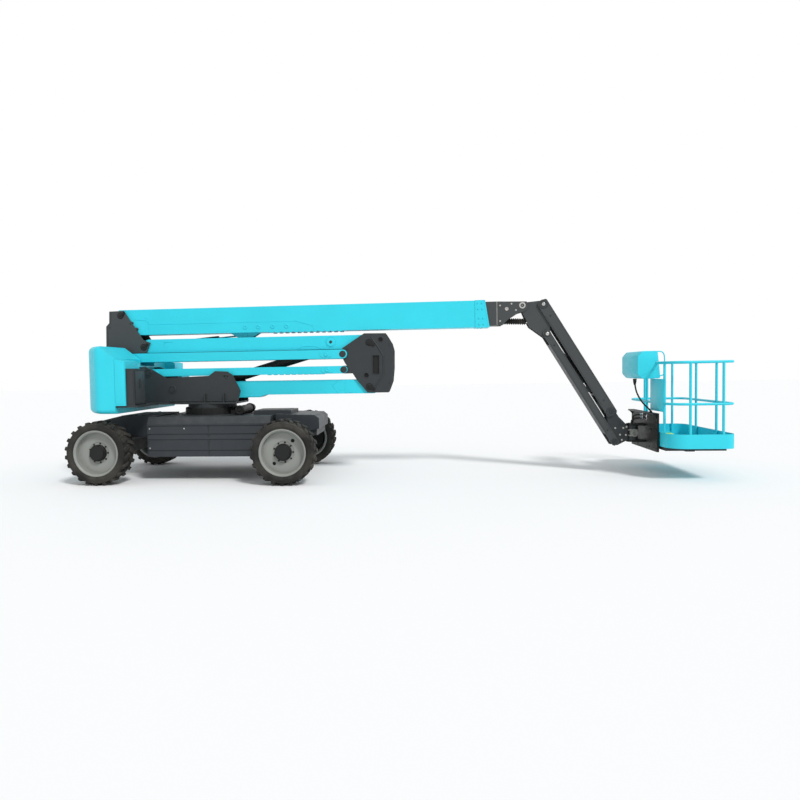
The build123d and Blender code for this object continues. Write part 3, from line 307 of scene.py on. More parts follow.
def dress_nodes():
    """Gives every CAD node the finish of its slot in the record, some darker in black steel and some in a
    lighter copy of the dark paint, which is painted light.
    """
    for subpart in frame["record"]["subparts"]:
        node = frame["nodes"][subpart["node"]]
        node.data.materials.clear()
        node.data.materials.append(MATERIALS[SHADES.get(subpart["node"], subpart["material_slot"])])


# Making pieces

def add_loft(bm, loops, closed=False):
    """Skins a row of loops, each with as many points, and closes its ends or joins them."""
    rows = [[bm.verts.new(point) for point in loop] for loop in loops]
    count = len(rows[0])
    for low, high in list(zip(rows, rows[1:])) + ([(rows[-1], rows[0])] if closed else []):
        for k in range(count):
            nxt = (k + 1) % count
            bm.faces.new((low[k], low[nxt], high[nxt], high[k]))
    if not closed:
        bm.faces.new(rows[0])
        bm.faces.new(rows[-1])


def add_plate(bm, outline, y_low, y_high):
    """A plate: an outline in X and Z between two Y planes."""
    add_loft(bm, [[mm(x, y, z) for x, z in outline] for y in (y_low, y_high)])


def planes(side, low, high):
    """Two Y planes on one side of the machine, the lower first."""
    return sorted((side * low, side * high))


def add_box(bm, x, y, z):
    """A box between two places on each axis."""
    add_plate(bm, [(x[0], z[0]), (x[1], z[0]), (x[1], z[1]), (x[0], z[1])], y[0], y[1])


def add_turned(bm, at, axis, profile, segments=32, closed=False):
    """A turned form about an axis: radii and places along it, in millimetres."""
    axis = Vector(axis).normalized()
    side = axis.cross(Vector((0, 0, 1)) if abs(axis.z) < 0.9 else Vector((1, 0, 0))).normalized()
    other = axis.cross(side)
    rings = []
    for radius, reach in profile:
        middle = at + axis * (reach / 1000)
        if radius <= 0:
            rings.append([bm.verts.new(middle)] * segments)
        else:
            turns = [2 * math.pi * k / segments for k in range(segments)]
            rings.append([bm.verts.new(middle + (side * math.cos(t) + other * math.sin(t)) * radius / 1000)
                          for t in turns])
    for low, high in list(zip(rings, rings[1:])) + ([(rings[-1], rings[0])] if closed else []):
        for k in range(segments):
            nxt = (k + 1) % segments
            corners = []
            for vert in (low[k], low[nxt], high[nxt], high[k]):
                if vert not in corners:
                    corners.append(vert)
            if len(corners) > 2:
                bm.faces.new(corners)


def add_bolt(bm, at, axis, radius):
    """A hexagon bolt's head on its washer."""
    add_turned(bm, at, axis, [(0, -1), (radius * 1.45, -1), (radius * 1.45, radius * 0.18),
                              (radius * 1.38, radius * 0.25), (0, radius * 0.25)], 20)
    add_turned(bm, at, axis, [(0, radius * 0.2), (radius, radius * 0.2), (radius, radius * 0.8),
                              (radius * 0.86, radius * 0.92), (0, radius * 0.92)], 6)


def add_boss(bm, at, axis, radius, height, dimple):
    """A round raised pad with a rounded edge and a dimple for the pin's end."""
    add_turned(bm, at, axis, [(0, -1), (radius, -1), (radius, height * 0.7), (radius - height * 0.3, height),
                              (dimple + 3, height), (dimple, height - 3), (dimple * 0.4, height - 4),
                              (0, height - 4)], 40)


def rounded(outline, radius, steps=5):
    """An outline with its corners rounded; a list gives each corner its own radius."""
    points = []
    for k, corner in enumerate(outline):
        reach = radius[k] if isinstance(radius, list) else radius
        corner = Vector(corner)
        before = Vector(outline[k - 1]) - corner
        after = Vector(outline[(k + 1) % len(outline)]) - corner
        if reach <= 0:
            points.append(tuple(corner))
            continue
        reach = min(reach / math.tan(before.angle(after) / 2), before.length * 0.49, after.length * 0.49)
        first = corner + before.normalized() * reach
        last = corner + after.normalized() * reach
        for step in range(steps + 1):
            t = step / steps
            points.append(tuple(first * (1 - t) ** 2 + corner * (2 * t * (1 - t)) + last * t ** 2))
    return points


def add_bead(bm, points, y, width=9, height=5):
    """A raised weld line along points in X and Z, on a face at Y; it stands out towards Y's sign."""
    out = math.copysign(height, y)
    for (x0, z0), (x1, z1) in zip(points, points[1:]):
        length = math.hypot(x1 - x0, z1 - z0)
        dx, dz = (x1 - x0) / length, (z1 - z0) / length
        nx, nz = -dz * width / 2, dx * width / 2
        a = (x0 - dx * width / 3, z0 - dz * width / 3)
        b = (x1 + dx * width / 3, z1 + dz * width / 3)
        loops = []
        for x, z in (a, b):
            loops.append([mm(x + nx, y - out / 3, z + nz), mm(x + nx * 0.8, y + out * 0.6, z + nz * 0.8),
                          mm(x, y + out, z), mm(x - nx * 0.8, y + out * 0.6, z - nz * 0.8),
                          mm(x - nx, y - out / 3, z - nz)])
        add_loft(bm, loops)


def put(bm, name, body, slot, bevel=0.0, angle=24, material=None):
    """Makes a piece of a mesh: edges rounded, shaded, finished and hung on its body."""
    bmesh.ops.recalc_face_normals(bm, faces=bm.faces)
    if bevel:
        edges = [e for e in bm.edges if len(e.link_faces) == 2 and e.calc_face_angle(0) > math.radians(30)]
        bmesh.ops.bevel(bm, geom=edges, offset=bevel / 1000, offset_type="OFFSET", segments=2, profile=0.6,
                        affect="EDGES", clamp_overlap=True)
    for face in bm.faces:
        face.smooth = True
    for edge in bm.edges:
        edge.smooth = len(edge.link_faces) == 2 and edge.calc_face_angle(0) < math.radians(angle)
    mesh = bpy.data.meshes.new(name)
    bm.to_mesh(mesh)
    bm.free()
    mesh.materials.append(MATERIALS[material or slot])
    piece = bpy.data.objects.new(name, mesh)
    bpy.context.scene.collection.objects.link(piece)
    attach(piece, body)
    return piece


def carve(piece, tools, angle=24):
    """Takes the tools' forms out of a piece and deletes them."""
    for tool in tools:
        modifier = piece.modifiers.new("cut", "BOOLEAN")
        modifier.operation = "DIFFERENCE"
        modifier.solver = "EXACT"
        modifier.use_self = True
        modifier.object = tool
    depth = bpy.context.evaluated_depsgraph_get()
    mesh = bpy.data.meshes.new_from_object(piece.evaluated_get(depth))
    piece.modifiers.clear()
    bm = bmesh.new()
    bm.from_mesh(mesh)
    for face in bm.faces:
        face.smooth = True
        face.material_index = 0
    for edge in bm.edges:
        edge.smooth = len(edge.link_faces) == 2 and edge.calc_face_angle(0) < math.radians(angle)
    bm.to_mesh(mesh)
    bm.free()
    piece.data = mesh
    for tool in tools:
        bpy.data.objects.remove(tool)


def make_tool(bm):
    """A form to carve with."""
    bmesh.ops.recalc_face_normals(bm, faces=bm.faces)
    mesh = bpy.data.meshes.new("tool")
    bm.to_mesh(mesh)
    bm.free()
    tool = bpy.data.objects.new("tool", mesh)
    bpy.context.scene.collection.objects.link(tool)
    return tool


def make_hose(name, body, slot, points, radius):
    """A hose, tube or cable along a smooth curve."""
    curve = bpy.data.curves.new(name, "CURVE")
    curve.dimensions = "3D"
    spline = curve.splines.new("NURBS")
    spline.points.add(len(points) - 1)
    for spot, point in zip(spline.points, points):
        spot.co = (*mm(*point), 1)
    spline.order_u = 3
    spline.use_endpoint_u = True
    spline.resolution_u = 12
    curve.bevel_depth = radius / 1000
    curve.bevel_resolution = 3
    curve.use_fill_caps = True
    curve.materials.append(MATERIALS[slot])
    piece = bpy.data.objects.new(name, curve)
    bpy.context.scene.collection.objects.link(piece)
    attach(piece, body)
    return piece


OUT = (0, -1, 0)
UP = (0, 0, 1)
DOWN = (0, 0, -1)


# The console's cable

GLAND = (6140, 0, 1329)
LEAD_END = (6250, -330, 872)


def make_cable():
    """The cable that hangs from the console's gland and goes into the carrier."""
    route = [(6140, 0, 1320), (6140, 0, 1240), (6150, -60, 1120), (6185, -170, 1005), (6230, -270, 930),
             (6250, -330, 895), (6250, -330, 871)]
    cable = make_hose("console_lead", "platform", "tyre_rubber", route, 11)
    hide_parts("console_cable")
    bm = bmesh.new()
    add_turned(bm, mm(*GLAND), DOWN,
               [(0, 0), (26, 0), (26, 14), (23, 17), (23, 40), (17, 62), (13, 88), (0, 88)])
    for k in range(3):
        low = 42 + 12 * k
        ridge = 22 - 2 * k
        add_turned(bm, mm(*GLAND), DOWN, [(17, low), (ridge, low + 1), (ridge, low + 6), (16, low + 8)])
    add_turned(bm, mm(*LEAD_END), UP, [(0, -1), (22, -1), (22, 8), (18, 11), (14, 26), (0, 26)])
    put(bm, "cable_glands", "platform", "tyre_rubber")


# Wheels

AXLE_X = 1290
TRACK_OUT = 1215
TYRE_W = 350
TYRE_R = 440
LUGS = 22
LUG_SKEW = math.radians(19)
LUG_R = 430
LUG_MIDDLE = 81
LUG_REACH = 53.3
HOLE_TURN = math.radians(50)
HOLE_CIRCLE = 0.2
WHEEL_BOLTS = 9
BOLT_CIRCLE = 0.132
HUB_BOLT_CIRCLE = 0.078


def wheel_matrix(end, side):
    """Takes a form made about Z to its wheel, with +Z outwards."""
    return (Matrix.Translation(mm(end * AXLE_X, side * (TRACK_OUT - TYRE_W / 2), TYRE_R))
            @ Matrix.Rotation(math.radians(-90 * side), 4, "X"))


def make_tyre(end, side, name):
    """A solid tyre with a rounded shoulder and two rows of skewed lugs."""
    bm = bmesh.new()
    half = TYRE_W / 2
    shoulder = [(320, half - 29), (342, half - 6), (356, half), (376, half - 2), (380, half - 5),
                (398, half - 5), (406, half - 12), (410, half - 24)]
    profile = [(radius, -reach) for radius, reach in shoulder] + shoulder[::-1]
    add_turned(bm, Vector((0, 0, 0)), UP, profile, 88, closed=True)
    first = 90 - math.degrees(math.asin(LUG_REACH / TYRE_R))
    plan = rounded([(-28, -82), (28, -82), (28, 82), (-28, 82)], 12, 3)
    for row, shift in ((1, 0.0), (-1, 0.5)):
        for k in range(LUGS):
            turn = math.radians(first + 360 / LUGS * (k + 0.5 + shift))
            loops = []
            for radius, share in ((404, 1.0), (LUG_R, 0.97), (437.5, 0.88)):
                loop = []
                for w, l in plan:
                    w, l = w * share, l * (1 - (1 - share) * 0.4)
                    across = w * math.cos(LUG_SKEW) - row * l * math.sin(LUG_SKEW)
                    along = row * w * math.sin(LUG_SKEW) + l * math.cos(LUG_SKEW) + row * LUG_MIDDLE
                    angle = turn + across / LUG_R
                    loop.append(Vector((radius * math.cos(angle), radius * math.sin(angle), along)) / 1000)
                loops.append(loop)
            add_loft(bm, loops)
    bm.transform(wheel_matrix(end, side))
    tyre = put(bm, "tread_" + name, "wheel_" + name, "tyre_rubber", angle=30)
    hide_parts("tyre_" + name)


def make_rim(end, side, name):
    """A one-piece rim with a dished disc, two hand holes in front, and a hub with a ring of bolts."""
    bm = bmesh.new()
    half = TYRE_W / 2
    middle = Vector((0, 0, 0))
    shell = [(286, 30 - half), (300, 23 - half), (312, 23 - half), (319.6, 30 - half), (319.6, half - 30),
             (314, half - 22), (303, half - 22), (299, half - 27), (286, half - 40), (284, 60), (284, 20)]
    add_turned(bm, middle, UP, shell, 72, closed=True)
    disc = [(113, 20), (126, 26), (180, 30), (296, 24), (296, 44), (262, 50), (150, 50), (140, 44), (113, 44)]
    add_turned(bm, middle, UP, disc, 72, closed=True)
    bm.transform(wheel_matrix(end, side))
    rim = put(bm, "wheel_" + name + "_disc", "wheel_" + name, "rim_paint")
    if end == 1:
        tools = []
        for turn in (HOLE_TURN, HOLE_TURN + math.pi):
            tool = bmesh.new()
            add_turned(tool, Vector((HOLE_CIRCLE * math.cos(turn), HOLE_CIRCLE * math.sin(turn), -0.02)), UP,
                       [(0, 0), (25, 0), (25, 120), (0, 120)], 28)
            tool.transform(wheel_matrix(end, side))
            tools.append(make_tool(tool))
        carve(rim, tools)
    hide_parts("rim_" + name)
    bm = bmesh.new()
    hub = [(62.5, 2), (114, 2), (114, 92), (108, 100), (104, 101), (96, 119), (60, 120), (0, 120), (0, 90),
           (62.5, 90)]
    add_turned(bm, middle, UP, hub, 48)
    drum = [(63, -30), (250, -30), (258, -22), (258, 12), (63, 12)]
    add_turned(bm, middle, UP, drum, 56, closed=True)
    for k in range(WHEEL_BOLTS):
        turn = 2 * math.pi * k / WHEEL_BOLTS
        add_bolt(bm, Vector((BOLT_CIRCLE * math.cos(turn), BOLT_CIRCLE * math.sin(turn), 0.045)), UP, 9)
        add_turned(bm, Vector((HUB_BOLT_CIRCLE * math.cos(turn), HUB_BOLT_CIRCLE * math.sin(turn), 0.117)), UP,
                   [(0, 0), (9, 0), (9, 2), (0, 2)], 6)
    bm.transform(wheel_matrix(end, side))
    put(bm, "wheel_" + name + "_hub", "wheel_" + name, "dark_paint", material="black_steel")


# Chassis and turntable

FRAME_REAR_DECK = -1224
RING_BOLTS = 30
RING_BOLT_CIRCLE = 382
DRIVE_X = 505
DRIVE_Z = 968
DRIVE_BOLT_CIRCLE = 55


def make_chassis_trim():
    """The bolts, the seams, the slewing drive and the steering hoses of the chassis."""
    bm = bmesh.new()
    for k in range(RING_BOLTS):
        turn = 2 * math.pi * k / RING_BOLTS
        add_bolt(bm, mm(RING_BOLT_CIRCLE * math.cos(turn), RING_BOLT_CIRCLE * math.sin(turn), 999.7), UP, 11)
    put(bm, "slew_ring_bolts", "chassis", "dark_paint", material="black_steel")
    bm = bmesh.new()
    for side in (NEAR, FAR):
        for x, z in ((-660, 745), (-660, 472), (-160, 745), (1025, 745), (950, 472)):
            add_turned(bm, mm(x, side * 839, z), (0, side, 0),
                       [(0, -6), (11, -6), (11, 0.4), (7, 0.9), (0, 0.9)], 20)
    put(bm, "chassis_bolts", "chassis", "rod_chrome", material="bare_steel")
    bm = bmesh.new()
    for side in (NEAR, FAR):
        for x in (-690, 1056):
            add_box(bm, (x - 3, x + 3), planes(side, 820, 841), (352, 812))
        add_box(bm, (182, 190), planes(side, 822, 841), (356, 806))
    for x in (FRAME_REAR_DECK, 1180):
        add_box(bm, (x - 3, x + 3), (-466, 466), (900, 913))
    add_box(bm, (760, 1196), (-240, 240), (953, 960))
    put(bm, "chassis_seams", "chassis", "dark_paint", bevel=1.5)
    bm = bmesh.new()
    cap = [(0, 0), (70, 0), (70, 16), (64, 22), (44, 22), (40, 12), (22, 12), (18, 26), (0, 26)]
    add_turned(bm, mm(DRIVE_X, -329, DRIVE_Z), OUT, cap, 40)
    for k in range(6):
        turn = math.pi / 3 * k
        add_bolt(bm, mm(DRIVE_X + DRIVE_BOLT_CIRCLE * math.cos(turn), -350,
                        DRIVE_Z + DRIVE_BOLT_CIRCLE * math.sin(turn)), OUT, 6)
    motor = [(0, 0), (74, 0), (74, 24), (58, 30), (58, 150), (50, 160), (0, 160)]
    add_turned(bm, mm(DRIVE_X, 249, DRIVE_Z), (0, 1, 0), motor, 40)
    for end in (-1, 1):
        for side in (NEAR, FAR):
            add_turned(bm, mm(end * AXLE_X - 30 * end, side * 380, 720), (0, side, 0),
                       [(0, 0), (34, 0), (34, 88), (20, 92), (0, 92)], 28)
    put(bm, "slew_drive", "chassis", "dark_paint", material="black_steel")
    for side, name in ((NEAR, "near"), (FAR, "far")):
        make_hose("steer_hose_" + name, "chassis", "tyre_rubber",
                  [(-1460, side * 215, 482), (-1462, side * 215, 560), (-1440, side * 225, 640),
                   (-1380, side * 240, 690), (-1300, side * 240, 700)], 10)


WEIGHT_FRONT = -1007
WEIGHT_HALF = 1150
TAIL_SWING = 1730
WEIGHT_LOW = 975
WEIGHT_TOP = 1905
WEIGHT_EDGE = 70


def weight_outline(inset):
    """The counterweight's outline in plan: the tail-swing arc with round corners."""
    half = WEIGHT_HALF - inset
    reach = TAIL_SWING - inset
    low = math.asin((half - 170) / reach)
    side = math.sqrt(reach ** 2 - half ** 2)
    corner = rounded([(-side + 220, half), (-side + 20, half), (-reach * math.cos(low), reach * math.sin(low))],
                     [0, 150, 0], 8)[:-1]
    arc = [(-reach * math.cos(low * k / 14), reach * math.sin(low * k / 14)) for k in range(14, 0, -1)]
    upper = corner + arc
    lower = [(x, -y) for x, y in reversed(upper)]
    return [(WEIGHT_FRONT, -half), (WEIGHT_FRONT, half)] + upper + [(-reach, 0)] + lower


def make_weight():
    """The cast counterweight, its edges well rounded, with a slot for the knuckle."""
    levels = []
    for k in range(7):
        turn = math.pi / 2 * k / 6
        levels.append((WEIGHT_LOW + WEIGHT_EDGE * (1 - math.cos(turn)), WEIGHT_EDGE * (1 - math.sin(turn))))
    levels += [(WEIGHT_TOP - (z - WEIGHT_LOW), inset) for z, inset in reversed(levels)]
    bm = bmesh.new()
    add_loft(bm, [[mm(x, y, z) for x, y in weight_outline(inset)] for z, inset in levels])
    weight = put(bm, "counterweight_cast", "turntable", "teal_paint", angle=40)
    slope = bmesh.new()
    add_plate(slope, [(-1235, 1950), (-1235, 1900), (-1006, 1729), (-960, 1729), (-960, 1950)], -1200, 1200)
    slot = bmesh.new()
    add_box(slot, (-1600, -960), (-262, 262), (1640, 1960))
    carve(weight, [make_tool(slope), make_tool(slot)], 35)
    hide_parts("counterweight")
    bm = bmesh.new()
    for y in (-700, 700):
        add_turned(bm, mm(-1400, y, 1899), UP, [(30, 0), (30, 5), (46, 5), (46, 0)], 40, closed=True)
    for z in (1150, 1500):
        for y in ((-1148, -770), (770, 1148)):
            add_box(bm, (-1009, -1003), y, (z, z + 4))
    put(bm, "weight_eyes", "turntable", "dark_paint")


CABINET_FRONT = -742


def make_turntable_trim():
    """The cabinet's door, face and rivets, the covers' panels, and caps and strips on the plates; the face is
    lighter than the door, painted light.
    """
    bm = bmesh.new()
    for z in range(1120, 1580, 62):
        for y in (-1105, -756):
            add_turned(bm, mm(CABINET_FRONT, y, z), (1, 0, 0), [(0, 0), (7, 0), (6, 3), (3, 5), (0, 5)], 16)
    for x in range(-960, 480, 130):
        for side in (NEAR, FAR):
            add_bolt(bm, mm(x, side * 330, 1086), UP, 9)
    put(bm, "cabinet_rivets", "turntable", "dark_paint")
    bm = bmesh.new()
    front = (CABINET_FRONT, CABINET_FRONT + 8)
    door = rounded([(-846, 1110), (-756, 1110), (-756, 1566), (-846, 1566)], 10)
    add_plate(bm, door, -1126, -1119)
    for z in (1104, 1562):
        add_box(bm, front, (-1090, -772), (z, z + 8))
    for y in (-1094, -776):
        add_box(bm, front, (y, y + 8), (1104, 1570))
    add_plate(bm, rounded([(-740, 1340), (-716, 1352), (-716, 1438), (-740, 1450)], 6), -958, -946)
    put(bm, "cabinet_door", "turntable", "dark_paint", bevel=1.5)
    # The cabinet's front face takes the lighter copy of the dark paint: painted light on the face the sun falls
    # on.
    bm = bmesh.new()
    add_box(bm, (CABINET_FRONT, CABINET_FRONT + 4), (-1085, -777), (1113, 1561))
    put(bm, "cabinet_face_painted_light", "turntable", "dark_paint", bevel=1, material="lit_dark_paint")
    bm = bmesh.new()
    cover = rounded([(-1000, 1110), (-868, 1110), (-868, 1660), (-1000, 1690)], 20)
    for y in (1143, -1151):
        add_plate(bm, cover, y, y + 8)
    add_plate(bm, door, 1118, 1126)
    for k in range(9):
        add_box(bm, front, (800, 1060), (1180 + 36 * k, 1190 + 36 * k))
    put(bm, "cover_panels", "turntable", "teal_paint", bevel=1.5)
    bm = bmesh.new()
    for x, z in ((-515, 1278), (-881, 1530)):
        for side in (NEAR, FAR):
            add_turned(bm, mm(x, side * 299, z), (0, side, 0),
                       [(46, 0), (62, 0), (62, 7), (58, 9), (46, 9)], 40, closed=True)
            add_bolt(bm, mm(x + 54, side * 308, z), (0, side, 0), 7)
    strip = rounded([(-560, 1100), (440, 1100), (440, 1118), (-560, 1118)], 5)
    for side in (NEAR, FAR):
        add_plate(bm, strip, *planes(side, 299, 312))
        add_turned(bm, mm(302, side * 299, 1446), (0, side, 0), [(0, 0), (17, 0), (17, 6), (0, 6)], 28)
    put(bm, "turntable_trim", "turntable", "dark_paint")


# Riser

BEAM_BOSS_X = 1832
BEAM_BOSS_Z = 1934


def make_riser_trim():
    """Pads, bosses, weld lines and scalloped strips on the riser's beams and links."""
    for name, body, x, rear, z in (("lower_link_pads", "lower_link", 2024, -881, 1530),
                                   ("upper_link_pads", "upper_link", 2011, -1360, 1755)):
        bm = bmesh.new()
        pad = rounded([(x - 330, z - 40), (x - 150, z - 40), (x - 150, z + 40), (x - 330, z + 40)], 38)
        for side in (NEAR, FAR):
            add_plate(bm, pad, *planes(side, 229, 235))
            add_boss(bm, mm(x - 240, side * 234, z), (0, side, 0), 30, 9, 10)
            add_turned(bm, mm(rear + 110, side * 229, z), (0, side, 0),
                       [(0, 0), (26, 0), (26, 5), (22, 8), (9, 8), (7, 5), (0, 5)], 32)
        put(bm, name, body, "teal_paint")
    bm = bmesh.new()
    for side in (NEAR, FAR):
        add_boss(bm, mm(BEAM_BOSS_X, side * 149, BEAM_BOSS_Z), (0, side, 0), 62, 11, 22)
        add_turned(bm, mm(BEAM_BOSS_X, side * 149, BEAM_BOSS_Z), (0, side, 0),
                   [(76, 0), (82, 0), (80, 4), (76, 4)], 44, closed=True)
        add_bead(bm, [(-640, 1985), (-680, 1950), (-640, 1915)], side * 150)
        add_bead(bm, [(-680, 1985), (-560, 1985)], side * 150)
        add_bead(bm, [(1340, 1835), (1420, 1880), (1600, 1880), (1700, 1840)], side * 150)
        add_bead(bm, [(-880, 1860), (1300, 1845)], side * 150, 3, 1.5)
    put(bm, "upper_beam_marks", "upper_beam", "teal_paint")
    bm = bmesh.new()
    add_turned(bm, mm(BEAM_BOSS_X, -153, BEAM_BOSS_Z), OUT, [(0, 0), (20, 0), (20, 11), (15, 14), (0, 14)], 28)
    put(bm, "upper_beam_plug", "upper_beam", "dark_paint")
    bm = bmesh.new()
    for side in (NEAR, FAR):
        for k in range(9):
            x = 930 + 92 * k
            tab = rounded([(x - 32, 1476), (x - 24, 1466), (x + 24, 1466), (x + 32, 1476)], 5, 3)
            add_plate(bm, tab, *planes(side, 192, 226))
    put(bm, "lower_link_scallops", "lower_link", "teal_paint")
    bm = bmesh.new()
    patch = rounded([(2030, 1195), (2180, 1195), (2240, 1370), (2030, 1370)], 18)
    for side in (NEAR, FAR):
        add_bead(bm, [(1930, 1375), (1850, 1300), (1930, 1190)], side * 150)
        add_bead(bm, [(560, 1160), (760, 1160)], side * 150)
        add_plate(bm, patch, *planes(side, 149, 152.5))
        add_boss(bm, mm(-140, side * 149, 1330), (0, side, 0), 30, 6, 10)
    put(bm, "lower_beam_marks", "lower_beam", "teal_paint")


KNUCKLE_FACE = 184
KEEPER_REACH = 74
MID_KNUCKLE_HOLES = ((2561, 1955), (2349, 1444))


def make_knuckle_trim():
    """Pin keepers, raised frames and bolts on both knuckles, and near-black backings in the mid knuckle's
    window and holes, which are painted shade.
    """
    for name, body, pins in (("mid_knuckle_keepers", "mid_knuckle", ((2390, 1278), (2391, 1915))),
                             ("upper_knuckle_keepers", "upper_knuckle", ((-980, 1915), (-1327, 2394)))):
        bm = bmesh.new()
        for x, z in pins:
            lean = 0.7 if x < 0 else -0.5
            ex, ez = x + KEEPER_REACH * math.cos(lean), z + KEEPER_REACH * math.sin(lean)
            keeper = rounded([(x - 20, z - 20), (ex + 16, ez - 26), (ex + 22, ez + 10), (x + 10, z + 30)], 10)
            for side in (NEAR, FAR):
                add_turned(bm, mm(x, side * 183, z), (0, side, 0),
                           [(37, 0), (50, 0), (50, 5), (47, 7), (37, 7)], 40, closed=True)
                add_plate(bm, keeper, *planes(side, 195.5, 201))
                add_bolt(bm, mm(ex, side * 200, ez), (0, side, 0), 9)
                add_turned(bm, mm(x, side * 195.5, z), (0, side, 0),
                           [(0, 0), (27, 0), (27, 4), (22, 6), (0, 6)])
        put(bm, name, body, "dark_paint", material="black_steel")
    # The backing behind the mid knuckle's window and the caps in its two holes are near-black: painted shade in
    # the recess and the holes.
    bm = bmesh.new()
    for side in (NEAR, FAR):
        add_box(bm, (2443, 2533), planes(side, 157, 163), (1461, 1725))
        for x, z in MID_KNUCKLE_HOLES:
            add_turned(bm, mm(x, side * 157, z), (0, side, 0), [(0, 0), (31.5, 0), (31.5, 5), (0, 5)], 36)
    put(bm, "mid_knuckle_recess_painted_shade", "mid_knuckle", "dark_paint", material="black_steel")
    bm = bmesh.new()
    panel = [(2426, 1990), (2520, 1850), (2599, 1718), (2596, 1473), (2520, 1345), (2448, 1229)]
    window = [(2438, 1456), (2538, 1456), (2538, 1730), (2438, 1730), (2438, 1456)]
    for side in (NEAR, FAR):
        add_bead(bm, panel, side * KNUCKLE_FACE, 22, 12)
        add_bead(bm, window, side * KNUCKLE_FACE, 12, 7)
        for x, z in MID_KNUCKLE_HOLES:
            add_turned(bm, mm(x, side * 183, z), (0, side, 0),
                       [(33, 0), (41, 0), (41, 5), (38, 7), (33, 7)], 36, closed=True)
        for x, z in ((2060, 1700), (2080, 1830), (2690, 1880), (2690, 1330), (2380, 1225)):
            add_bolt(bm, mm(x, side * KNUCKLE_FACE, z), (0, side, 0), 10)
    put(bm, "mid_knuckle_frame", "mid_knuckle", "dark_paint")
    bm = bmesh.new()
    rim = [(-1480, 2440), (-1484, 2292), (-1532, 2240), (-1538, 1950), (-1440, 1852)]
    for side in (NEAR, FAR):
        add_bead(bm, rim, side * KNUCKLE_FACE, 8, 4)
        for x, z in ((-1470, 1900), (-1250, 1870), (-1500, 2220), (-1180, 2270)):
            add_bolt(bm, mm(x, side * KNUCKLE_FACE, z), (0, side, 0), 9)
    put(bm, "upper_knuckle_marks", "upper_knuckle", "dark_paint")
    for k, (x, z) in enumerate(((-1165, 2280), (-1090, 2189))):
        bm = bmesh.new()
        add_turned(bm, mm(x, -146, z), OUT, [(0, -2), (24, -2), (24, 20), (18, 24), (18, 36), (0, 36)], 6)
        put(bm, "root_fitting_" + str(k), "main_boom", "dark_paint")


# Booms

BOOM_Z = 2289
BOOM_HALF = 189
COLLAR_SLANT = 30
LEVEL_ROD_WAY = Vector((0.999357, 0, -0.03586))


def make_boom_trim():
    """Bosses, weld lines, collars and bolts on both boom sections, and the boot over the levelling rod."""
    bm = bmesh.new()
    for side in (NEAR, FAR):
        y = side * 145
        for x in (562, 761, 976, 1181):
            add_turned(bm, mm(x, y - side, 2180), (0, side, 0),
                       [(17, 0), (32, 0), (32, 6), (27, 9), (20, 9), (17, 5)], 40, closed=True)
        add_bead(bm, [(-1130, 2330), (-960, 2315), (-915, 2290), (-905, 2180)], y)
        add_bead(bm, [(-980, 2355), (-930, 2340), (-900, 2250)], y, 4, 2)
        add_bead(bm, [(1300, 2260), (1570, 2180), (1590, 2120)], y)
        add_bead(bm, [(-900, 2250), (1300, 2250)], y, 5, 3)
        add_bead(bm, [(110, 2102), (110, 2130), (330, 2130)], y, 4, 2)
        for k in range(12):
            x = 960 + 92 * k
            tab = rounded([(x - 32, 2101), (x - 24, 2090), (x + 24, 2090), (x + 32, 2101)], 5, 3)
            add_plate(bm, tab, *planes(side, 110, 146))
    for x, slant in ((3912, 0), (4062, COLLAR_SLANT)):
        for y in (-151.5, 151.5):
            loops = []
            for z in (2098, 2480):
                middle = x - slant * (z - BOOM_Z) / BOOM_HALF
                loops.append([mm(middle - 5, y, z), mm(middle + 5, y, z), mm(middle + 5, y * 0.98, z),
                              mm(middle - 5, y * 0.98, z)])
            add_loft(bm, loops)
    put(bm, "boom_marks", "main_boom", "teal_paint")
    bm = bmesh.new()
    for side in (NEAR, FAR):
        for z in (2140, 2225, 2355, 2440):
            for x in (3955, 4015):
                add_bolt(bm, mm(x - 14 * (z - BOOM_Z) / BOOM_HALF, side * 150, z), (0, side, 0), 10)
    for x in (3960, 4010):
        for y in (-90, 90):
            add_turned(bm, mm(x, y, 2095.5), DOWN, [(0, 0), (14, 0), (14, 5), (0, 5)], 6)
    for side in (NEAR, FAR):
        add_bolt(bm, mm(541, side * 77.5, 2048), (0, side, 0), 14)
    put(bm, "boom_bolts", "main_boom", "teal_paint")
    bm = bmesh.new()
    for side in (NEAR, FAR):
        add_bead(bm, [(4216, 2124), (4216, 2455)], side * 125.7, 8, 3)
        add_boss(bm, mm(4570, side * 125, 2394), (0, side, 0), 46, 9, 20)
        add_boss(bm, mm(4352, side * 125, 2350), (0, side, 0), 26, 7, 10)
        for x, z in ((4260, 2180), (4260, 2400), (4420, 2420), (4480, 2330)):
            add_bolt(bm, mm(x, side * 125.5, z), (0, side, 0), 9)
    put(bm, "fly_head_bolts", "fly_boom", "rod_chrome", material="bare_steel")
    bm = bmesh.new()
    start = mm(4296, 0, 2184)
    profile = [(27, -2)]
    for k in range(13):
        profile += [(34, 26 * k), (47, 26 * k + 7), (47, 26 * k + 13), (34, 26 * k + 20)]
    profile += [(34, 26 * 13), (27, 26 * 13 + 4)]
    add_turned(bm, start, LEVEL_ROD_WAY, profile)
    boot = put(bm, "rod_boot", "level_cylinder", "tyre_rubber", angle=60)
    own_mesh(boot)


# Jib

JIB_TOP = (4865, 2405)
JIB_LOW = (4915, 1985)
JIB_LENGTH = 1786
JIB_TURN = math.radians(-58.95)
ROTATOR_X = 6100


def jib_place(at, along, across):
    """A place in X and Z, along an arm from its pin and across it."""
    return (at[0] + along * math.cos(JIB_TURN) - across * math.sin(JIB_TURN),
            at[1] + along * math.sin(JIB_TURN) + across * math.cos(JIB_TURN))


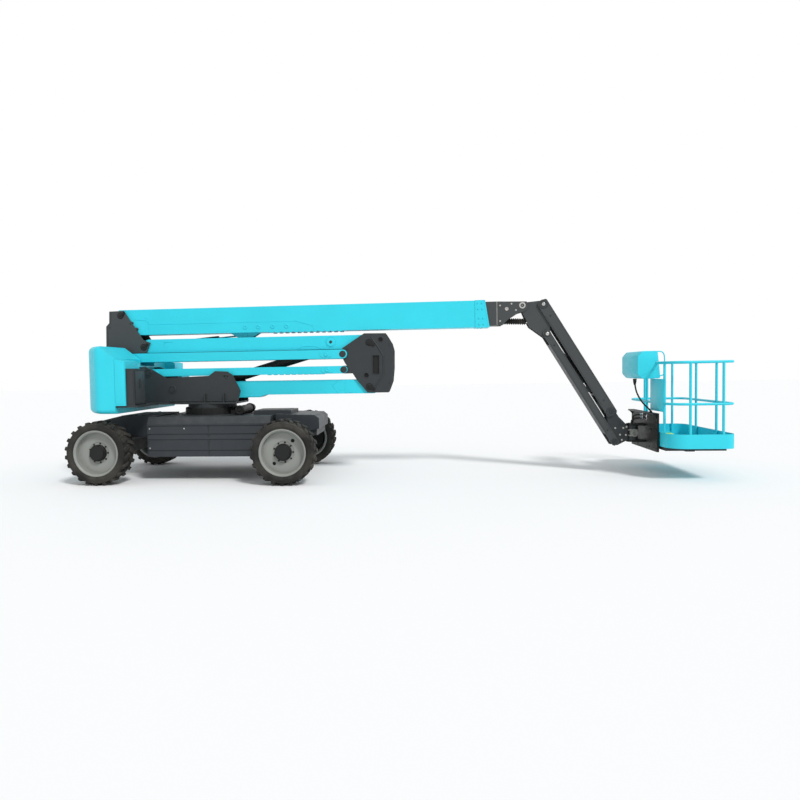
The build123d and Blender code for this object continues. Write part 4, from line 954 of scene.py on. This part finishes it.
def make_jib_trim():
    """Pin caps, weld lines and bolts along the jib, and the rotary actuator's rings."""
    for name, body, at, half in (("upper_arm_pads", "jib_upper_arm", JIB_TOP, 75),
                                 ("lower_arm_pads", "jib_lower_arm", JIB_LOW, 52)):
        bm = bmesh.new()
        cap = [(28, 0), (half - 8, 0), (half - 8, 4), (half - 11, 6), (28, 6)]
        for side in (NEAR, FAR):
            for where in (0, JIB_LENGTH):
                x, z = jib_place(at, where, 0)
                add_turned(bm, mm(x, side * 105, z), (0, side, 0), cap, 44, closed=True)
            for edge in (half - 16, 16 - half):
                line = [jib_place(at, 150, edge), jib_place(at, JIB_LENGTH - 150, edge)]
                add_bead(bm, line, side * 106, 4, 2)
            for where in (190, JIB_LENGTH - 190):
                x, z = jib_place(at, where, 0)
                add_bolt(bm, mm(x, side * 105.5, z), (0, side, 0), 9)
        put(bm, name, body, "dark_paint")
    bm = bmesh.new()
    pin = [(0, 0), (24, 0), (24, 4), (20, 6), (8, 6), (6, 3), (0, 3)]
    for x, z in (JIB_TOP, JIB_LOW):
        for side in (NEAR, FAR):
            add_turned(bm, mm(x, side * 113, z), (0, side, 0), pin)
    put(bm, "bracket_pins", "jib_bracket", "rod_chrome", material="bare_steel")
    bm = bmesh.new()
    for side in (NEAR, FAR):
        for x, z in ((6004, 655), (5960, 640), (5915, 545), (5995, 540), (5850, 640), (5940, 470)):
            add_bolt(bm, mm(x, side * 79.5, z), (0, side, 0), 9)
    put(bm, "jib_end_bolts", "jib_end", "rod_chrome", material="bare_steel")
    bm = bmesh.new()
    for z in (520, 600):
        add_turned(bm, mm(ROTATOR_X, 0, z), UP, [(79, 0), (88, 2), (88, 20), (79, 22)], 44, closed=True)
    add_turned(bm, mm(ROTATOR_X, -60, 571), (0.35, -1, 0),
               [(0, 0), (56, 0), (56, 42), (50, 48), (30, 48), (26, 40), (0, 40)], 36)
    put(bm, "rotator_rings", "jib_end", "rim_paint")


# Platform

PLATFORM_CORNERS = ((6985, 755, 150, 0), (6540, 665, 240, 90), (6540, -665, 240, 180), (6985, -755, 150, 270))
RAIL_HEIGHTS = (1548, 1007)
RAIL_R = 17
FLOOR_TOP = 450
HOSE_HEIGHTS = (832, 785)
PEDAL_X = 6723
PEDAL_Y = 370


def plan_path(inset):
    """Points round the platform's edge, in plan, with the way out at each."""
    path = []
    for x, y, radius, first in PLATFORM_CORNERS:
        for k in range(11):
            turn = math.radians(first + 90 * k / 10)
            out = Vector((math.cos(turn), math.sin(turn)))
            path.append((Vector((x, y)) + out * (radius - inset), out))
    return path


def make_cage():
    """The platform's rails, posts and toe board, bent round at the corners."""
    bm = bmesh.new()
    for height in RAIL_HEIGHTS:
        loops = []
        for spot, out in plan_path(21):
            loop = []
            for k in range(16):
                turn = 2 * math.pi * k / 16
                way = spot + out * (RAIL_R * math.cos(turn))
                loop.append(mm(way.x, way.y, height + RAIL_R * math.sin(turn)))
            loops.append(loop)
        add_loft(bm, loops, closed=True)
    section = [(0, 432), (0, 614), (1, 618), (4, 618), (4, 440), (14, 436), (14, 432)]
    add_loft(bm, [[mm(spot.x - out.x * depth, spot.y - out.y * depth, z) for depth, z in section]
                  for spot, out in plan_path(0)], closed=True)
    posts = [(x, y) for x in (6558, 6962) for y in (-884, 884)]
    posts += [(6321, y) for y in (-645, 40)] + [(7114, y) for y in (-306, 375)]
    for x, y in posts:
        add_turned(bm, mm(x, y, 452), UP, [(0, 0), (RAIL_R, 0), (RAIL_R, 1096), (0, 1096)], 24)
        for z in (600, 999, 1538):
            add_turned(bm, mm(x, y, z), UP, [(16, 0), (20, 4), (20, 9), (16, 12)], 24)
    cage = put(bm, "platform_cage", "platform", "teal_paint", angle=30)
    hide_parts("platform_rails", "platform_corners")


SHROUD_OPEN_X = 6318


def make_console():
    """The console's rounded shroud with its cheeks, shelf and lower panel, and its levers and hoops."""
    bm = bmesh.new()
    shell = rounded([(6070, 1400), (6070, 1640), (6130, 1711), (6330, 1711), (6368, 1338), (6130, 1332)],
                    [60, 60, 40, 34, 24, 60], 6)
    inner = [(x + (6219 - x) * 0.045, z + (1521 - z) * 0.045) for x, z in shell]
    count = len(shell)
    wrapped = [k for k in range(count) if shell[k][0] < SHROUD_OPEN_X]
    start = next(k for k in wrapped if (k - 1) % count not in wrapped)
    rows = []
    for step in range(len(wrapped)):
        k = (start + step) % count
        (ox, oz), (ix, iz) = shell[k], inner[k]
        rows.append([mm(ox, -347, oz), mm(ox, 347, oz), mm(ix, 347, iz), mm(ix, -347, iz)])
    add_loft(bm, rows)
    for side in (NEAR, FAR):
        add_plate(bm, shell, *planes(side, 346, 355))
    add_box(bm, (6080, 6303), (-346, 346), (1500, 1512))
    add_box(bm, (6298, 6304), (-660, -160), (896, 1332))
    shroud = put(bm, "console_shroud", "platform", "teal_paint", bevel=2, angle=30)
    slot = bmesh.new()
    add_box(slot, (6303, 6339), (-400, 400), (1530, 1566))
    carve(shroud, [make_tool(slot)], 30)
    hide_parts("console")
    bm = bmesh.new()
    add_box(bm, (6110, 6300), (-300, 300), (1513, 1521))
    lever = [(0, 0), (34, 0), (34, 8), (24, 16), (12, 22), (9, 60), (14, 74), (18, 92), (14, 104), (0, 108)]
    for y in (-210, 60):
        add_turned(bm, mm(6200, y, 1518), UP, lever)
    switch = [(0, 0), (11, 0), (11, 8), (5, 10), (4, 26), (6, 32), (0, 34)]
    for y in (-130, -90, 130, 170, 210, 250):
        add_turned(bm, mm(6230, y, 1519), UP, switch, 20)
    knob = [(0, 0), (26, 0), (26, 10), (14, 12), (14, 26), (26, 32), (26, 42), (0, 46)]
    add_turned(bm, mm(6150, -60, 1519), UP, knob)
    put(bm, "console_controls", "platform", "dark_paint")
    bm = bmesh.new()
    for y in (-355, 355):
        add_bead(bm, [(6100, 1372), (6352, 1486)], y, 8, 4)
    put(bm, "console_creases", "platform", "teal_paint")
    for name, y in (("console_hoop", -349), ("console_hoop_far", 349)):
        make_hose(name, "platform", "teal_paint",
                  [(6290, y, 1700), (6360, y, 1706), (6404, y, 1690), (6422, y, 1640), (6424, y, 1560),
                   (6424, y, 1440), (6420, y, 1400), (6400, y, 1378), (6364, y, 1372)], 8)


def make_platform_trim():
    """The floor's tread, the foot switch with its guard, and the carrier's bolts, shelf and hoses."""
    bm = bmesh.new()
    for row in range(28):
        for column in range(9):
            x = 6420 + 75 * column + (37 if row % 2 else 0)
            y = -810 + 60 * row
            if x > 7080:
                continue
            lean = 0.7 if (row + column) % 2 else -0.7
            dx, dy = 19 * math.cos(lean), 19 * math.sin(lean)
            nx, ny = -4 * math.sin(lean), 4 * math.cos(lean)
            low = [mm(x - dx, y - dy, 449.5), mm(x + nx, y + ny, 449.5), mm(x + dx, y + dy, 449.5),
                   mm(x - nx, y - ny, 449.5)]
            high = [mm(x - dx * 0.8, y - dy * 0.8, 452), mm(x + nx * 0.6, y + ny * 0.6, 452.4),
                    mm(x + dx * 0.8, y + dy * 0.8, 452), mm(x - nx * 0.6, y - ny * 0.6, 452.4)]
            add_loft(bm, [low, high])
    put(bm, "floor_treads", "platform", "teal_paint")
    bm = bmesh.new()
    loops = []
    for z, shrink in ((FLOOR_TOP, 0), (500, 0), (520, 10)):
        plan = rounded([(-70 + shrink, -55 + shrink), (70 - shrink, -55 + shrink), (70 - shrink, 55 - shrink),
                        (-70 + shrink, 55 - shrink)], 22, 4)
        loops.append([mm(PEDAL_X + dx, PEDAL_Y + dy, z) for dx, dy in plan])
    add_loft(bm, loops)
    put(bm, "foot_switch", "platform", "teal_paint", material="pedal_paint")
    bm = bmesh.new()
    plan = rounded([(-90, -75), (90, -75), (90, 75), (-90, 75)], 16, 4)
    add_loft(bm, [[mm(PEDAL_X + dx, PEDAL_Y + dy, z) for dx, dy in plan] for z in (449.5, 462)])
    guard = [(6640, 455), (6800, 455), (6800, 520), (6760, 545), (6680, 545), (6640, 520)]
    add_plate(bm, rounded(guard, 14), 436, 444)
    put(bm, "foot_switch_guard", "platform", "teal_paint", bevel=1.5)
    bm = bmesh.new()
    for y in (-500, -420, -250, 250, 420, 500):
        for z in (400, 640, 845):
            add_bolt(bm, mm(6260.5, y, z), (-1, 0, 0), 9)
    for x, y in ((6060, 0), (6140, 0), (6100, 40), (6100, -40)):
        add_bolt(bm, mm(x, y, 699.5), UP, 9)
    put(bm, "carrier_bolts", "platform", "dark_paint")
    bm = bmesh.new()
    fitting = [(0, 0), (26, 0), (26, 14), (18, 16), (18, 44), (22, 46), (22, 66), (15, 70), (15, 100), (0, 100)]
    for z in HOSE_HEIGHTS:
        add_turned(bm, mm(6262, -150, z), (-1, 0, 0), fitting, 24)
    put(bm, "hose_fittings", "platform", "rod_chrome")
    bm = bmesh.new()
    for y in (-512, 500):
        add_plate(bm, [(6261, 800), (6261, 860), (6214, 860), (6214, 850)], y, y + 12)
    add_box(bm, (6208, 6214), (-538, 538), (850, 871))
    put(bm, "carrier_shelf", "platform", "dark_paint", bevel=1.5)
    for k, z in enumerate(HOSE_HEIGHTS):
        make_hose("jib_hose_" + str(k), "platform", "tyre_rubber",
                  [(6170, -150, z), (6138, -150, z), (6108, -142, z - 4), (6094, -112, z - 14),
                   (6094, -72 + 20 * k, z - 44), (6098, -34 + 34 * k, 744), (6100, -26 + 40 * k, 702)], 13)


make_camera()
make_light()
make_floor()
dress_nodes()
make_cable()
for end_side, end_name in ((-1, "rear"), (1, "front")):
    for lateral, lateral_name in ((NEAR, "near"), (FAR, "far")):
        make_tyre(end_side, lateral, end_name + "_" + lateral_name)
        make_rim(end_side, lateral, end_name + "_" + lateral_name)
make_chassis_trim()
make_weight()
make_turntable_trim()
make_riser_trim()
make_knuckle_trim()
make_boom_trim()
make_jib_trim()
make_cage()
make_console()
make_platform_trim()

bpy.context.scene.view_settings.view_transform = "Standard"
